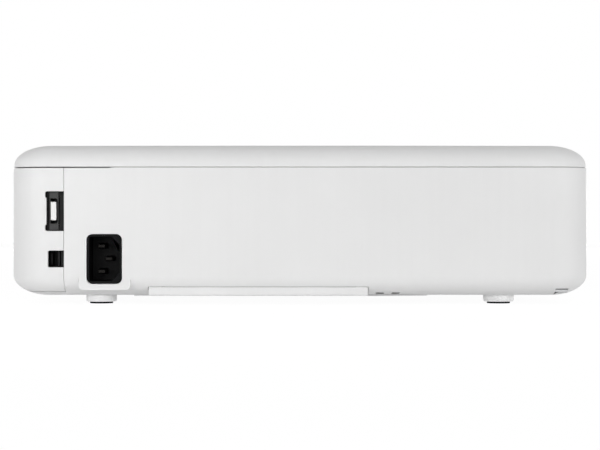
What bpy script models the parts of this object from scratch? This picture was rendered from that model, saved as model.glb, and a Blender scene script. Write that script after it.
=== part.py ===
# A flat white home LCD projector, built piece by piece. Metres, +Z up.
# The lens faces +Y, the sockets face -Y, and the feet stand at height zero.
import math

import bmesh
import bpy
from mathutils import Matrix, Vector

# Clearances and cutting
GAP = 0.0003
OVERRUN = 0.004
MERGE = 0.00001
SMOOTH_ANGLE = math.radians(35)

# Outer body
BODY_WIDTH = 0.320
BODY_DEPTH = 0.211
BODY_HEIGHT = 0.0835
FOOT_HEIGHT = 0.005
PLAN_RADIUS = 0.021
EDGE_RUN = 0.0195
EDGE_RISE = 0.0114
CORNER_STEPS = 6
EDGE_STEPS = 5
WALL = 0.0025
SEAM_DROP = 0.0126
SEAM_GAP = 0.0005
COVER_STEP = 0.0003
COVER_WALL = 0.0017
LIP_WALL = 0.0012
LIP_ABOVE = 0.0012
LIP_BELOW = 0.003

# Corner port cover at the rear left
PORT_WIDTH = 0.0306
PORT_LENGTH = 0.0435
PORT_LOW = 0.007
PANEL_GAP = 0.0004
PARTITION_WALL = 0.0018
HDMI_NOTCH_WIDTH = 0.0099
HDMI_NOTCH_LOW = 0.0409
HDMI_NOTCH_HEIGHT = 0.0216
SERVICE_NOTCH_WIDTH = 0.0088
SERVICE_NOTCH_LOW = 0.0208
SERVICE_NOTCH_HEIGHT = 0.0092
NOTCH_RADIUS = 0.0012

# Main board, port bracket and sockets
BOARD_THICK = 0.0016
MAIN_BOARD_INSET = 0.0014
MAIN_BOARD_SETBACK = 0.0052
MAIN_BOARD_LENGTH = 0.130
MAIN_BOARD_LOW = 0.014
MAIN_BOARD_HEIGHT = 0.058
POST_SIDE = 0.006
POST_PLACE_SHARES = (0.36, 0.9)
BRACKET_THICK = 0.001
BRACKET_SETBACK = 0.0039
BRACKET_REACH = (0.0121, 0.0019)
HDMI_TUBE = (0.0052, 0.0132, 0.0148)
HDMI_TUBE_WALL = 0.0005
HDMI_FLANGE = (0.0054, 0.0005, 0.0208)
HDMI_CHAMFER = 0.0012
HDMI_INSERT_BACK = 0.0006
SERVICE_SIZE = (0.0098, 0.012, 0.0108)
SERVICE_WALL = 0.0012
SERVICE_POCKET = 0.009
CHIP_SHARES = ((0.42, 0.5, 0.2, 0.4), (0.7, 0.35, 0.14, 0.25), (0.75, 0.75, 0.1, 0.2))
CHIP_HEIGHT = 0.003

# Mains inlet
INLET_FROM_SEAM = 0.0222
INLET_Z = 0.0254
INLET_SIZE = (0.0191, 0.024, 0.0272)
INLET_RADIUS = 0.0026
INLET_SOCKET = (0.0166, 0.0168, 0.0244)
INLET_CHAMFER = 0.0045
INLET_FLANGE = (0.0235, 0.0015, 0.0286)
BLADE_PITCH = 0.014
BLADE_OFFSET = 0.002
BLADE_SIZE = (0.004, 0.020, 0.002)
BLADE_RECESS = 0.0045
PAD_SIDE = (0.0283, 0.0065, 0.034)
PAD_LOW = 0.0082
PAD_RADIUS = 0.0026

# Filter cover under the body
FILTER_FROM_INLET = 0.0142
FILTER_FROM_SIDE = 0.089
FILTER_LENGTH = 0.0655
FILTER_PROUD = 0.00045
FILTER_PLATE = 0.00245
LIP_FROM_LEFT = 0.0097
LIP_FROM_RIGHT = 0.0337
LIP_SETBACK = 0.0033
LIP_TOP = 0.0099
LIP_THICK = 0.0025
LIP_ROUND = 0.0012
INTAKE_SLOTS = 13
INTAKE_SLOT_WIDTH = 0.004
INTAKE_SLOT_LENGTH = 0.034
FILTER_THICK = 0.0022
FILTER_MARGIN = 0.006
LATCH_WIDTH = 0.0045
LATCH_HEIGHT = 0.001
LATCH_Z = 0.0065
LATCH_STEPS = (0.00645, 0.0152)
LATCH_DEPTH = 0.004

# Feet
FOOT_FROM_SIDE = 0.0481
FOOT_FROM_END = 0.0295
FOOT_RADIUS = 0.0086
FOOT_TAPER = 0.0004
PAD_RADIUS_FOOT = 0.0065
PAD_SHOWN = 0.0011
PAD_SUNK = 0.0008
LEG_RADIUS = 0.007
LEG_TOP = 0.045
GUIDE_WALL = 0.002
GUIDE_TOP = 0.042
RELEASE_SIZE = (0.020, 0.0146, 0.004)
RELEASE_SETBACK = 0.0175
RELEASE_LOW = 0.009

# Security bar in the rear right bottom corner
SECURITY_FROM_SIDE = (0.0205, 0.0118)
SECURITY_Z = 0.0092
SECURITY_POCKET = 0.0155
SECURITY_BAR_SHARE = 0.629
SECURITY_BLOCK = 0.0025
SECURITY_BLOCK_LENGTH = 0.0115
SECURITY_BAR = 0.0022

# Ceiling fixing holes in the underside
CEILING_FROM_SIDE = 0.0535
CEILING_FROM_ENGINE = 0.008
CEILING_FROM_REAR = 0.0855
CEILING_FROM_FRONT = 0.0555
CEILING_BOSS = 0.005
CEILING_BOSS_HEIGHT = 0.0045
CEILING_HOLE = 0.0021
CEILING_DEPTH = 0.0064

# Lens group
LENS_Z = 0.044
LENS_OPENING = 0.0275
SURROUND_RADIUS = 0.031
SURROUND_MOUTH = 0.028
SURROUND_BACK = 0.0276
SURROUND_PORT = 0.0226
SURROUND_SETBACKS = (0.0315, 0.0051)
SURROUND_FLOOR = 0.002
SURROUND_FOOT = (0.028, 0.0094, 0.0072)
BARREL_SETBACK = 0.0135
BARREL_RADIUS = 0.022
BARREL_WALL = 0.0025
BARREL_FLANGE = 0.027
BARREL_FLANGE_THICK = 0.004
BARREL_PORT = 0.018
RING_FROM_SURROUND = 0.005
RING_LENGTH = 0.010
RING_WALL = 0.0039
RING_KNOB = (0.0044, 0.0105, 0.0031)
FRONT_LENS_SETBACK = 0.025
FRONT_LENS_EDGE = 0.004
FRONT_LENS_BULGE = (0.0025, 0.0045)
REAR_LENS_EDGE = 0.003
REAR_LENS_BULGE = (0.0, 0.003)
LENS_STEPS = 4

# Sliding lens cover
SHUTTER_WIDTH = 0.068
SHUTTER_HEIGHT = 0.0572
SHUTTER_THICK = 0.0017
SHUTTER_SETBACK = 0.0031
SHUTTER_TRAVEL = 0.062
SHUTTER_KNOB = (0.006, 0.0029, 0.0064)
SHUTTER_KNOB_INSET = 0.002

# Front wall openings. The spare width goes to the two ends by a share.
LEFT_SPARE_SHARE = 0.6422
GRILLE_TO_RECEIVER = 0.005
RECEIVER_TO_SHUTTER = 0.004
SHUTTER_TO_LENS = 0.0065
GRILLE_SIZE = (0.072, 0.054)
GRILLE_SLOTS = 17
GRILLE_SLOT = (0.0025, 0.048)
RECEIVER_Z = 0.058
RECEIVER_SIZE = (0.013, 0.008)
RECEIVER_RADIUS = 0.003
RECEIVER_DEPTH = 0.004

# Fans
FAN_DEPTH = 0.020
FAN_CORNER = 0.004
FAN_RIM = 0.0028
FAN_ARM = 0.003
FAN_HUB_SHARE = 0.21
FAN_BLADES = 7
FAN_BLADE = (0.013, 0.0012)
FAN_TILT = math.radians(38)
FAN_TIP_GAP = 0.001
FAN_SHAFT = 0.0015
EXHAUST_SIDE = 0.064
EXHAUST_SETBACK = 0.0175
INTAKE_SIDE = 0.050
INTAKE_X = -0.030
INTAKE_FROM_REAR = 0.0475
INTAKE_LOW = 0.013
LEDGE_DEPTH = 0.006

# Optical engine and lamp
ENGINE_FROM_LENS = 0.038
ENGINE_FROM_EDGE = 0.0105
ENGINE_PLACES = (0.0655, 0.1349)
ENGINE_HEIGHT = 0.058
ENGINE_WALL = 0.002
ENGINE_LID = 0.002
PRISM_SIDE = 0.026
PRISM_FROM_REAR = 0.1135
PEDESTAL_SIDE = 0.034
PANEL_SIDE = 0.024
PANEL_THICK = 0.0016
LIGHT_PORT = 0.016
LAMP_WIDTH = 0.056
LAMP_PLACES = (0.0195, 0.0615)
LAMP_HEIGHT = 0.0635
LAMP_WALL = 0.002
REFLECTOR_RADIUS = 0.024
REFLECTOR_LENGTH = 0.028
REFLECTOR_WALL = 0.0016
REFLECTOR_NECK = 0.006
REFLECTOR_STEPS = 6
BURNER_RADIUS = 0.0028
BURNER_BULB = 0.0046
BURNER_LENGTH = 0.026

# Power supply and loudspeaker
SUPPLY_FROM_SEAM = (0.0042, 0.0414)
SUPPLY_SETBACKS = (0.0295, 0.0595)
SUPPLY_LOW = 0.0128
RAIL_WIDTH = 0.004
RAIL_INSET_SHARE = 0.3
TRANSFORMER = (0.026, 0.028, 0.026)
TRANSFORMER_SHARE = 0.3
CAPACITOR_RADIUS = 0.009
CAPACITOR_HEIGHT = 0.030
CAPACITOR_SHARE = 0.62
SINK = (0.003, 0.040, 0.030)
SINK_SHARE = 0.75
SPEAKER_SETBACK = 0.0855
SPEAKER_Z = 0.046
SPEAKER_RADIUS = 0.022
SPEAKER_DEPTH = 0.014
SPEAKER_BACK = 0.011
SPEAKER_CONE = 0.017
SPEAKER_DISH = 0.005
SPEAKER_SLOTS = 8
SPEAKER_SLOT = (0.0018, 0.030)
SPEAKER_PITCH = 0.0042

# Keys, light pipe and keystone slider in the top cover
KEYS_X = 0.010
KEYS_FROM_REAR = 0.0535
KEY_RADIUS = 0.0046
KEY_SUNK = 0.0002
KEY_FLANGE = 0.001
KEY_FLANGE_THICK = 0.0008
KEY_PLUNGER = 0.0015
KEY_TRAVEL = 0.0008
ARROW_PITCH = 0.013
KEY_PITCH = 0.0155
CONTROL_BOARD_DROP = 0.0069
CONTROL_BOARD_SIZE = (0.116, 0.042)
CONTROL_BOARD_SHIFT = -0.008
CONTROL_POST = 0.0025
CONTROL_POST_INSET = 0.004
LIGHT_RADIUS = 0.0012
LIGHT_PITCH = 0.006
LIGHTS = 3
LIGHT_BAR = (0.0035, 0.0016)
KEYSTONE_FROM_KEYS = 0.074
KEYSTONE_KNOB = (0.009, 0.0046)
KEYSTONE_TRAVEL = 0.010
KEYSTONE_CARRIER = (0.016, 0.010, 0.0014)
KEYSTONE_RIBS = 3
KEYSTONE_RIB = 0.0008

# Planes worked out from the body
SIDE = BODY_WIDTH / 2
REAR = -BODY_DEPTH / 2
FRONT = BODY_DEPTH / 2
UNDERSIDE = FOOT_HEIGHT
TOP = FOOT_HEIGHT + BODY_HEIGHT
SEAM = TOP - SEAM_DROP
FLOOR = UNDERSIDE + WALL
CEILING = TOP - COVER_WALL
FRONT_INSIDE = FRONT - WALL
ON_FLOOR = FLOOR + GAP

# Places worked out from the left side to the right
PORT_SEAM_X = -SIDE + PORT_WIDTH
MAIN_BOARD_X = PORT_SEAM_X - MAIN_BOARD_INSET
BRACKET_X = (PORT_SEAM_X - BRACKET_REACH[0], PORT_SEAM_X + BRACKET_REACH[1])
SUPPLY_X = (PORT_SEAM_X + SUPPLY_FROM_SEAM[0], PORT_SEAM_X + SUPPLY_FROM_SEAM[1])
INLET_X = PORT_SEAM_X + INLET_FROM_SEAM
FILTER_LEFT = INLET_X + FILTER_FROM_INLET
FILTER_RIGHT = SIDE - FILTER_FROM_SIDE
LIP_LEFT = FILTER_LEFT + LIP_FROM_LEFT
LIP_RIGHT = FILTER_RIGHT - LIP_FROM_RIGHT
FOOT_X = SIDE - FOOT_FROM_SIDE
SECURITY_X = (SIDE - SECURITY_FROM_SIDE[0], SIDE - SECURITY_FROM_SIDE[1])
SHUTTER_AND_LENS = SHUTTER_WIDTH + SHUTTER_TO_LENS + 2 * LENS_OPENING
GRILLE_AND_RECEIVER = GRILLE_SIZE[0] + GRILLE_TO_RECEIVER + RECEIVER_SIZE[0]
FRONT_USED = GRILLE_AND_RECEIVER + RECEIVER_TO_SHUTTER + SHUTTER_AND_LENS
FRONT_SPARE = BODY_WIDTH - 2 * PLAN_RADIUS - FRONT_USED
GRILLE_LEFT = -SIDE + PLAN_RADIUS + LEFT_SPARE_SHARE * FRONT_SPARE
GRILLE_X = GRILLE_LEFT + GRILLE_SIZE[0] / 2
RECEIVER_X = GRILLE_LEFT + GRILLE_AND_RECEIVER - RECEIVER_SIZE[0] / 2
SHUTTER_LEFT = GRILLE_LEFT + GRILLE_AND_RECEIVER + RECEIVER_TO_SHUTTER
LENS_X = SHUTTER_LEFT + SHUTTER_AND_LENS - LENS_OPENING
ENGINE_X = (LENS_X - ENGINE_FROM_LENS, SIDE - EDGE_RUN - ENGINE_FROM_EDGE)
LAMP_X = (ENGINE_X[1] - LAMP_WIDTH, ENGINE_X[1])
KEYSTONE_X = KEYS_X + KEYSTONE_FROM_KEYS

# Places worked out from the rear to the front
PORT_FRONT_Y = REAR + PORT_LENGTH
MAIN_BOARD_REAR = REAR + MAIN_BOARD_SETBACK
BRACKET_REAR = REAR + BRACKET_SETBACK
LIP_REAR = REAR + LIP_SETBACK
FILTER_FRONT = REAR + FILTER_LENGTH
FOOT_Y = REAR + FOOT_FROM_END
SECURITY_FRONT = REAR + SECURITY_POCKET
SECURITY_BAR_Y = REAR + SECURITY_BAR_SHARE * SECURITY_POCKET
LAMP_Y = (REAR + LAMP_PLACES[0], REAR + LAMP_PLACES[1])
ENGINE_Y = (REAR + ENGINE_PLACES[0], REAR + ENGINE_PLACES[1])
PRISM_Y = REAR + PRISM_FROM_REAR
SUPPLY_Y = (REAR + SUPPLY_SETBACKS[0], FRONT - SUPPLY_SETBACKS[1])
KEYS_Y = REAR + KEYS_FROM_REAR
INTAKE_Y = REAR + INTAKE_FROM_REAR
SPEAKER_Y = FRONT - SPEAKER_SETBACK
BARREL_REAR = ENGINE_Y[1] + GAP
BARREL_FRONT = FRONT - BARREL_SETBACK
SURROUND_REAR = FRONT - SURROUND_SETBACKS[0]
SURROUND_FRONT = FRONT - SURROUND_SETBACKS[1]
RING_REAR = SURROUND_REAR + RING_FROM_SURROUND
FRONT_LENS_REAR = FRONT - FRONT_LENS_SETBACK
EXHAUST_Y = FRONT - EXHAUST_SETBACK
FRONT_FOOT_Y = FRONT - FOOT_FROM_END
RELEASE_REAR = FRONT - RELEASE_SETBACK
SHUTTER_FRONT = FRONT - SHUTTER_SETBACK
CEILING_REAR_Y = REAR + CEILING_FROM_REAR
CEILING_POINTS = (
    (-SIDE + CEILING_FROM_SIDE, CEILING_REAR_Y),
    (ENGINE_X[0] - CEILING_FROM_ENGINE, CEILING_REAR_Y),
    (0, FRONT - CEILING_FROM_FRONT),
)


def clear_scene():
    """Empty the file of objects and of the data that they leave behind."""
    for item in list(bpy.data.objects):
        bpy.data.objects.remove(item, do_unlink=True)
    for group in list(bpy.data.collections):
        bpy.data.collections.remove(group)


def new_collection(name):
    """A collection in the scene."""
    group = bpy.data.collections.new(name)
    bpy.context.scene.collection.children.link(group)
    return group


def new_material(name, colour, roughness, metallic=0.0, alpha=1.0):
    """A plain Principled material."""
    finish = bpy.data.materials.new(name)
    finish.use_nodes = True
    shader = finish.node_tree.nodes["Principled BSDF"]
    shader.inputs["Base Color"].default_value = (*colour, 1.0)
    shader.inputs["Roughness"].default_value = roughness
    shader.inputs["Metallic"].default_value = metallic
    shader.inputs["Alpha"].default_value = alpha
    finish.diffuse_color = (*colour, alpha)
    return finish


clear_scene()
PARTS = new_collection("lcd_projector")
TOOLS = new_collection("cutters")
WHITE_ABS = new_material("white_abs", (0.84, 0.85, 0.85), 0.45)
BLACK_ABS = new_material("black_abs", (0.015, 0.015, 0.016), 0.4)
GREY_ABS = new_material("grey_abs", (0.30, 0.31, 0.32), 0.45)
RUBBER = new_material("black_rubber", (0.02, 0.02, 0.02), 0.8)
STEEL = new_material("plated_steel", (0.62, 0.62, 0.60), 0.3, 1.0)
BRASS = new_material("nickelled_brass", (0.70, 0.68, 0.62), 0.25, 1.0)
MAGNESIUM = new_material("cast_magnesium", (0.30, 0.30, 0.31), 0.5, 0.6)
GLASS = new_material("coated_glass", (0.55, 0.60, 0.75), 0.05, 0.0, 0.4)
BOARD = new_material("green_board", (0.02, 0.16, 0.07), 0.5)
FOAM = new_material("filter_foam", (0.12, 0.12, 0.12), 0.95)
SMOKE = new_material("smoked_acrylic", (0.03, 0.01, 0.012), 0.1)
CLEAR = new_material("clear_acrylic", (0.8, 0.85, 0.9), 0.1, 0.0, 0.5)
LIGHT_INSERT = new_material("light_nylon", (0.88, 0.88, 0.88), 0.5)


def span(centre, size):
    """The low and high ends of a size about its centre."""
    return centre - size / 2, centre + size / 2


def rise(low, size):
    """The low and high ends of a size that starts at its low end."""
    return low, low + size


def grown(ends, by):
    """A span made longer by the same amount at both ends."""
    return ends[0] - by, ends[1] + by


def along(axis, x, y, z):
    """A frame at a place whose own Z points along a world axis."""
    turns = {
        "X": Matrix.Rotation(math.radians(90), 4, "Y"),
        "Y": Matrix.Rotation(math.radians(-90), 4, "X"),
        "Z": Matrix.Identity(4),
    }
    return Matrix.Translation((x, y, z)) @ turns[axis]


def add_object(name, shape, frame, finish=None):
    """Make an object of a mesh under construction: a part, or a hidden tool when it has no finish."""
    data = bpy.data.meshes.new(name)
    shape.to_mesh(data)
    shape.free()
    item = bpy.data.objects.new(name, data)
    item.matrix_world = frame
    if finish is None:
        TOOLS.objects.link(item)
        item.hide_render = True
        item.display_type = "WIRE"
        return item
    PARTS.objects.link(item)
    data.materials.append(finish)
    if data.polygons:
        data.shade_smooth()
        data.set_sharp_from_angle(angle=SMOOTH_ANGLE)
    return item


def edges_along(shape, axis, chosen=None):
    """The edges that run along an axis, or those of them whose middle is chosen."""
    found = []
    for edge in shape.edges:
        a, b = (vert.co for vert in edge.verts)
        if abs((b - a).normalized()["XYZ".index(axis)]) > math.cos(SMOOTH_ANGLE):
            if chosen is None or chosen((a + b) / 2):
                found.append(edge)
    return found


def round_off(shape, edges, radius, steps):
    """Round some edges of a mesh, or chamfer them with one step."""
    bmesh.ops.bevel(
        shape, geom=edges, offset=radius, segments=steps, profile=0.5, affect="EDGES"
    )


def block(name, x, y, z, finish=None, corner=None, frame=None):
    """A box between three spans. corner is (axis, radius, steps, test) for the edges to round."""
    centre = Vector((sum(x) / 2, sum(y) / 2, sum(z) / 2))
    shape = bmesh.new()
    bmesh.ops.create_cube(shape, size=1)
    sides = Vector((x[1] - x[0], y[1] - y[0], z[1] - z[0]))
    bmesh.ops.scale(shape, vec=sides, verts=shape.verts)
    if corner is not None:
        axis, radius, steps, test = corner
        round_off(shape, edges_along(shape, axis, test), radius, steps)
    base = Matrix.Identity(4) if frame is None else frame
    return add_object(name, shape, base @ Matrix.Translation(centre), finish)


def block_row(name, centres, x, y, z, finish=None):
    """Like boxes in one tool, one at each centre."""
    shape = bmesh.new()
    sides = Vector((x, y, z))
    for centre in centres:
        made = bmesh.ops.create_cube(shape, size=1)
        bmesh.ops.scale(shape, vec=sides, verts=made["verts"])
        bmesh.ops.translate(shape, vec=Vector(centre), verts=made["verts"])
    return add_object(name, shape, Matrix.Identity(4), finish)


def rod(name, radius, ends, frame, finish=None, sides=20):
    """A round bar between two heights of a frame's own Z."""
    shape = bmesh.new()
    bmesh.ops.create_cone(
        shape,
        cap_ends=True,
        segments=sides,
        radius1=radius,
        radius2=radius,
        depth=ends[1] - ends[0],
    )
    bmesh.ops.translate(shape, vec=Vector((0, 0, sum(ends) / 2)), verts=shape.verts)
    return add_object(name, shape, frame, finish)


def turned(name, profile, frame, finish=None, closed=False, steps=24):
    """A profile of (radius, height) points, spun about a frame's Z. It runs down its outer side."""
    shape = bmesh.new()
    points = [shape.verts.new((radius, 0, height)) for radius, height in profile]
    followers = points[1:] + points[:1] if closed else points[1:]
    for start, end in zip(points, followers, strict=False):
        shape.edges.new((start, end))
    item = add_object(name, shape, frame, finish)
    spin = item.modifiers.new("spin", "SCREW")
    spin.steps = steps
    spin.render_steps = steps
    spin.use_merge_vertices = True
    spin.merge_threshold = MERGE
    return item


def combine(target, operation, *tools):
    """Cut, join or keep the common part, one tool after another."""
    for tool in tools:
        step = target.modifiers.new(tool.name, "BOOLEAN")
        step.operation = operation
        step.object = tool
        step.solver = "EXACT"


def cut(target, *tools):
    combine(target, "DIFFERENCE", *tools)


def join(target, *tools):
    combine(target, "UNION", *tools)


def body_skin(inset):
    """The closed outer form: upright corners round, top and bottom edges elliptical."""
    stretch = EDGE_RUN / EDGE_RISE
    shape = bmesh.new()
    bmesh.ops.create_cube(shape, size=1)
    sides = Vector((BODY_WIDTH - 2 * inset, BODY_DEPTH - 2 * inset, BODY_HEIGHT * stretch))
    bmesh.ops.scale(shape, vec=sides, verts=shape.verts)
    round_off(shape, edges_along(shape, "Z"), PLAN_RADIUS, CORNER_STEPS)
    rims = [
        edge
        for edge in shape.edges
        if abs(edge.verts[0].co.z - edge.verts[1].co.z) < MERGE
    ]
    round_off(shape, rims, EDGE_RUN, EDGE_STEPS)
    bmesh.ops.scale(shape, vec=Vector((1, 1, 1 / stretch)), verts=shape.verts)
    middle = Vector((0, 0, (TOP + UNDERSIDE) / 2))
    bmesh.ops.translate(shape, vec=middle, verts=shape.verts)
    return shape


def open_at(shape, height, keep_above):
    """Cut a closed form at a height and drop one side, which leaves an open surface."""
    bmesh.ops.bisect_plane(
        shape,
        geom=shape.verts[:] + shape.edges[:] + shape.faces[:],
        plane_co=Vector((0, 0, height)),
        plane_no=Vector((0, 0, 1)),
        clear_inner=keep_above,
        clear_outer=not keep_above,
    )


def shell(name, shape, wall, finish):
    """Thicken an open surface inwards."""
    item = add_object(name, shape, Matrix.Identity(4), finish)
    thicken = item.modifiers.new("wall", "SOLIDIFY")
    thicken.thickness = wall
    thicken.offset = -1
    thicken.use_even_offset = True
    return item


def rim_lip():
    """The tongue inside the seam, which locates the top cover."""
    outer = COVER_STEP + COVER_WALL + GAP
    heights = (SEAM - LIP_BELOW, SEAM + LIP_ABOVE)
    ring = block(
        "rim_lip",
        span(0, BODY_WIDTH - 2 * outer),
        span(0, BODY_DEPTH - 2 * outer),
        heights,
        corner=("Z", PLAN_RADIUS - outer, CORNER_STEPS, None),
    )
    inner = outer + LIP_WALL
    hollow = block(
        "rim_lip_hollow",
        span(0, BODY_WIDTH - 2 * inner),
        span(0, BODY_DEPTH - 2 * inner),
        grown(heights, OVERRUN),
        corner=("Z", PLAN_RADIUS - inner, CORNER_STEPS, None),
    )
    cut(ring, hollow)
    return ring


def port_region(name, inset, above):
    """The space at the rear left corner that the port cover fills."""
    return block(
        name,
        (-SIDE - OVERRUN, PORT_SEAM_X - inset),
        (REAR - OVERRUN, PORT_FRONT_Y - inset),
        (PORT_LOW + inset, SEAM + above),
    )


def inlet_pad():
    """The flat pad round the mains inlet, which carries on down where the body curves under."""
    return block(
        "inlet_pad",
        span(INLET_X, PAD_SIDE[0]),
        rise(REAR, PAD_SIDE[1]),
        rise(PAD_LOW, PAD_SIDE[2]),
        corner=("Y", PAD_RADIUS, 3, lambda middle: middle.z < 0),
    )


def filter_spans(inset):
    """The wide plate and the narrow tongue of the filter opening, as x and y spans."""
    curve_start = REAR + EDGE_RUN
    wide_x = (FILTER_LEFT + inset, FILTER_RIGHT - inset)
    wide_y = (curve_start + inset, FILTER_FRONT - inset)
    tongue_x = (LIP_LEFT + inset, LIP_RIGHT - inset)
    return (wide_x, wide_y), (tongue_x, (LIP_REAR, curve_start + WALL))


def case_supports():
    """Posts, rails, guides and bosses that are moulded with the lower case."""
    base = FLOOR - WALL / 2
    tools = [inlet_pad()]
    deep = PLAN_RADIUS + WALL
    partition_y = (PORT_FRONT_Y - WALL, PORT_FRONT_Y + PARTITION_WALL)
    tools.append(
        block(
            "partition",
            (-SIDE + WALL / 2, MAIN_BOARD_X - BOARD_THICK),
            partition_y,
            (UNDERSIDE + EDGE_RISE, SEAM - LIP_BELOW / 2),
        )
    )
    tools.append(
        block(
            "partition_foot",
            (-SIDE + deep, MAIN_BOARD_X - BOARD_THICK),
            partition_y,
            (base, UNDERSIDE + EDGE_RISE + WALL),
        )
    )
    for number, share in enumerate(POST_PLACE_SHARES):
        place = MAIN_BOARD_REAR + share * MAIN_BOARD_LENGTH
        tools.append(
            block(
                f"board_post_{number}",
                span(MAIN_BOARD_X, POST_SIDE),
                span(place, POST_SIDE),
                (base, MAIN_BOARD_LOW - GAP),
            )
        )
    wide = SUPPLY_X[1] - SUPPLY_X[0]
    middle = sum(SUPPLY_X) / 2
    for number, side in enumerate((-1, 1)):
        tools.append(
            block(
                f"supply_rail_{number}",
                span(middle + side * RAIL_INSET_SHARE * wide, RAIL_WIDTH),
                grown(SUPPLY_Y, -RAIL_WIDTH),
                (base, SUPPLY_LOW - GAP),
            )
        )
    tools.append(
        block(
            "exhaust_rail",
            span(GRILLE_X, EXHAUST_SIDE),
            rise(EXHAUST_Y - FAN_DEPTH / 2, LEDGE_DEPTH),
            (base, exhaust_centre_z() - EXHAUST_SIDE / 2 - GAP),
        )
    )
    tools.append(
        block(
            "intake_ledge",
            span(INTAKE_X, INTAKE_SIDE),
            rise(FILTER_FRONT + GAP, LEDGE_DEPTH),
            (base, INTAKE_LOW - GAP),
        )
    )
    tools.append(
        rod(
            "leg_guide",
            LEG_RADIUS + GAP + GUIDE_WALL,
            (base, GUIDE_TOP),
            along("Z", 0, FRONT_FOOT_Y, 0),
        )
    )
    for number, (x, y) in enumerate(CEILING_POINTS):
        tools.append(
            rod(
                f"ceiling_boss_{number}",
                CEILING_BOSS,
                (base, FLOOR + CEILING_BOSS_HEIGHT),
                along("Z", x, y, 0),
            )
        )
    tools.append(
        block(
            "security_block",
            grown(SECURITY_X, SECURITY_BLOCK),
            rise(SECURITY_FRONT + SECURITY_BLOCK - SECURITY_BLOCK_LENGTH, SECURITY_BLOCK_LENGTH),
            (base + SECURITY_BLOCK, SECURITY_Z + SECURITY_BLOCK),
        )
    )
    return tools


def exhaust_centre_z():
    """The exhaust fan stands as high as its grille."""
    return (UNDERSIDE + EDGE_RISE + SEAM - LIP_BELOW) / 2


def front_opening_tools():
    """Everything that is cut through the front wall."""
    through = (FRONT - EDGE_RUN / 2, FRONT + OVERRUN)
    knob_x = SHUTTER_LEFT + SHUTTER_KNOB_INSET
    slot = (knob_x - GAP, knob_x + SHUTTER_KNOB[0] + SHUTTER_TRAVEL + GAP)
    return [
        rod("lens_opening", LENS_OPENING, through, along("Y", LENS_X, 0, LENS_Z), sides=40),
        block("shutter_slot", slot, through, grown(span(LENS_Z, SHUTTER_KNOB[2]), GAP)),
        block(
            "grille_opening",
            grown(span(GRILLE_X, GRILLE_SIZE[0]), GAP),
            through,
            grown(span(exhaust_centre_z(), GRILLE_SIZE[1]), GAP),
        ),
        block(
            "receiver_opening",
            grown(span(RECEIVER_X, RECEIVER_SIZE[0]), GAP),
            through,
            grown(span(RECEIVER_Z, RECEIVER_SIZE[1]), GAP),
            corner=("Y", RECEIVER_RADIUS, 3, None),
        ),
        block(
            "release_opening",
            grown(span(0, RELEASE_SIZE[0]), GAP),
            (FRONT - EDGE_RUN, FRONT + OVERRUN),
            grown(rise(RELEASE_LOW, RELEASE_SIZE[2]), GAP),
        ),
    ]


def underside_tools():
    """Everything that is cut through the underside and the curved rear bottom edge."""
    wide, tongue = filter_spans(-GAP)
    low = UNDERSIDE - OVERRUN
    tools = [
        block("filter_opening", *wide, (low, FLOOR + GAP)),
        block("lip_opening", tongue[0], (REAR - OVERRUN, tongue[1][1]), (low, LIP_TOP + GAP)),
        rod(
            "leg_hole",
            LEG_RADIUS + GAP,
            (low, GUIDE_TOP + OVERRUN),
            along("Z", 0, FRONT_FOOT_Y, 0),
        ),
        block(
            "security_pocket",
            SECURITY_X,
            (REAR - OVERRUN, SECURITY_FRONT),
            (low, SECURITY_Z),
        ),
    ]
    for number, (x, y) in enumerate(CEILING_POINTS):
        tools.append(
            rod(
                f"ceiling_hole_{number}",
                CEILING_HOLE,
                (low, UNDERSIDE + CEILING_DEPTH),
                along("Z", x, y, 0),
                sides=16,
            )
        )
    for number, step in enumerate(LATCH_STEPS):
        tools.append(
            block(
                f"latch_slot_{number}",
                span(LIP_RIGHT + step, LATCH_WIDTH),
                rise(REAR, EDGE_RUN - LATCH_DEPTH),
                span(LATCH_Z, LATCH_HEIGHT),
            )
        )
    return tools


def speaker_slots():
    """The sound slots in the left wall, in front of the loudspeaker."""
    first = SPEAKER_Y - SPEAKER_PITCH * (SPEAKER_SLOTS - 1) / 2
    middle = -SIDE + WALL / 2
    centres = [(middle, first + n * SPEAKER_PITCH, SPEAKER_Z) for n in range(SPEAKER_SLOTS)]
    return block_row("speaker_slots", centres, 2 * WALL, SPEAKER_SLOT[0], SPEAKER_SLOT[1])


def lower_case():
    shape = body_skin(0)
    open_at(shape, SEAM - SEAM_GAP / 2, keep_above=False)
    case = shell("lower_case", shape, WALL, WHITE_ABS)
    join(case, rim_lip(), *case_supports())
    cut(case, port_region("port_opening", 0, OVERRUN))
    inlet_hole = block(
        "inlet_hole",
        grown(span(INLET_X, INLET_SIZE[0]), GAP),
        (REAR - OVERRUN, REAR + PAD_SIDE[1] + OVERRUN),
        grown(span(INLET_Z, INLET_SIZE[2]), GAP),
        corner=("Y", INLET_RADIUS, 3, None),
    )
    cut(case, inlet_hole, speaker_slots())
    cut(case, *front_opening_tools())
    cut(case, *underside_tools())


def key_places():
    """Where each key of the top cover sits, by the name of its piece."""
    return {
        "power_button": (-2 * KEY_PITCH - ARROW_PITCH, 0),
        "source_button": (-2 * KEY_PITCH, 0),
        "menu_button": (KEY_PITCH + ARROW_PITCH, KEY_PITCH / 2),
        "escape_button": (KEY_PITCH + ARROW_PITCH, -KEY_PITCH / 2),
        "enter_button": (0, 0),
        "up_button": (0, ARROW_PITCH),
        "down_button": (0, -ARROW_PITCH),
        "left_button": (-ARROW_PITCH, 0),
        "right_button": (ARROW_PITCH, 0),
    }


def light_places():
    """Where the three indicator pips stand, in a row behind the power key."""
    first = KEYS_X + key_places()["power_button"][0]
    return [(first + n * LIGHT_PITCH, KEYS_Y + ARROW_PITCH) for n in range(LIGHTS)]


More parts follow.
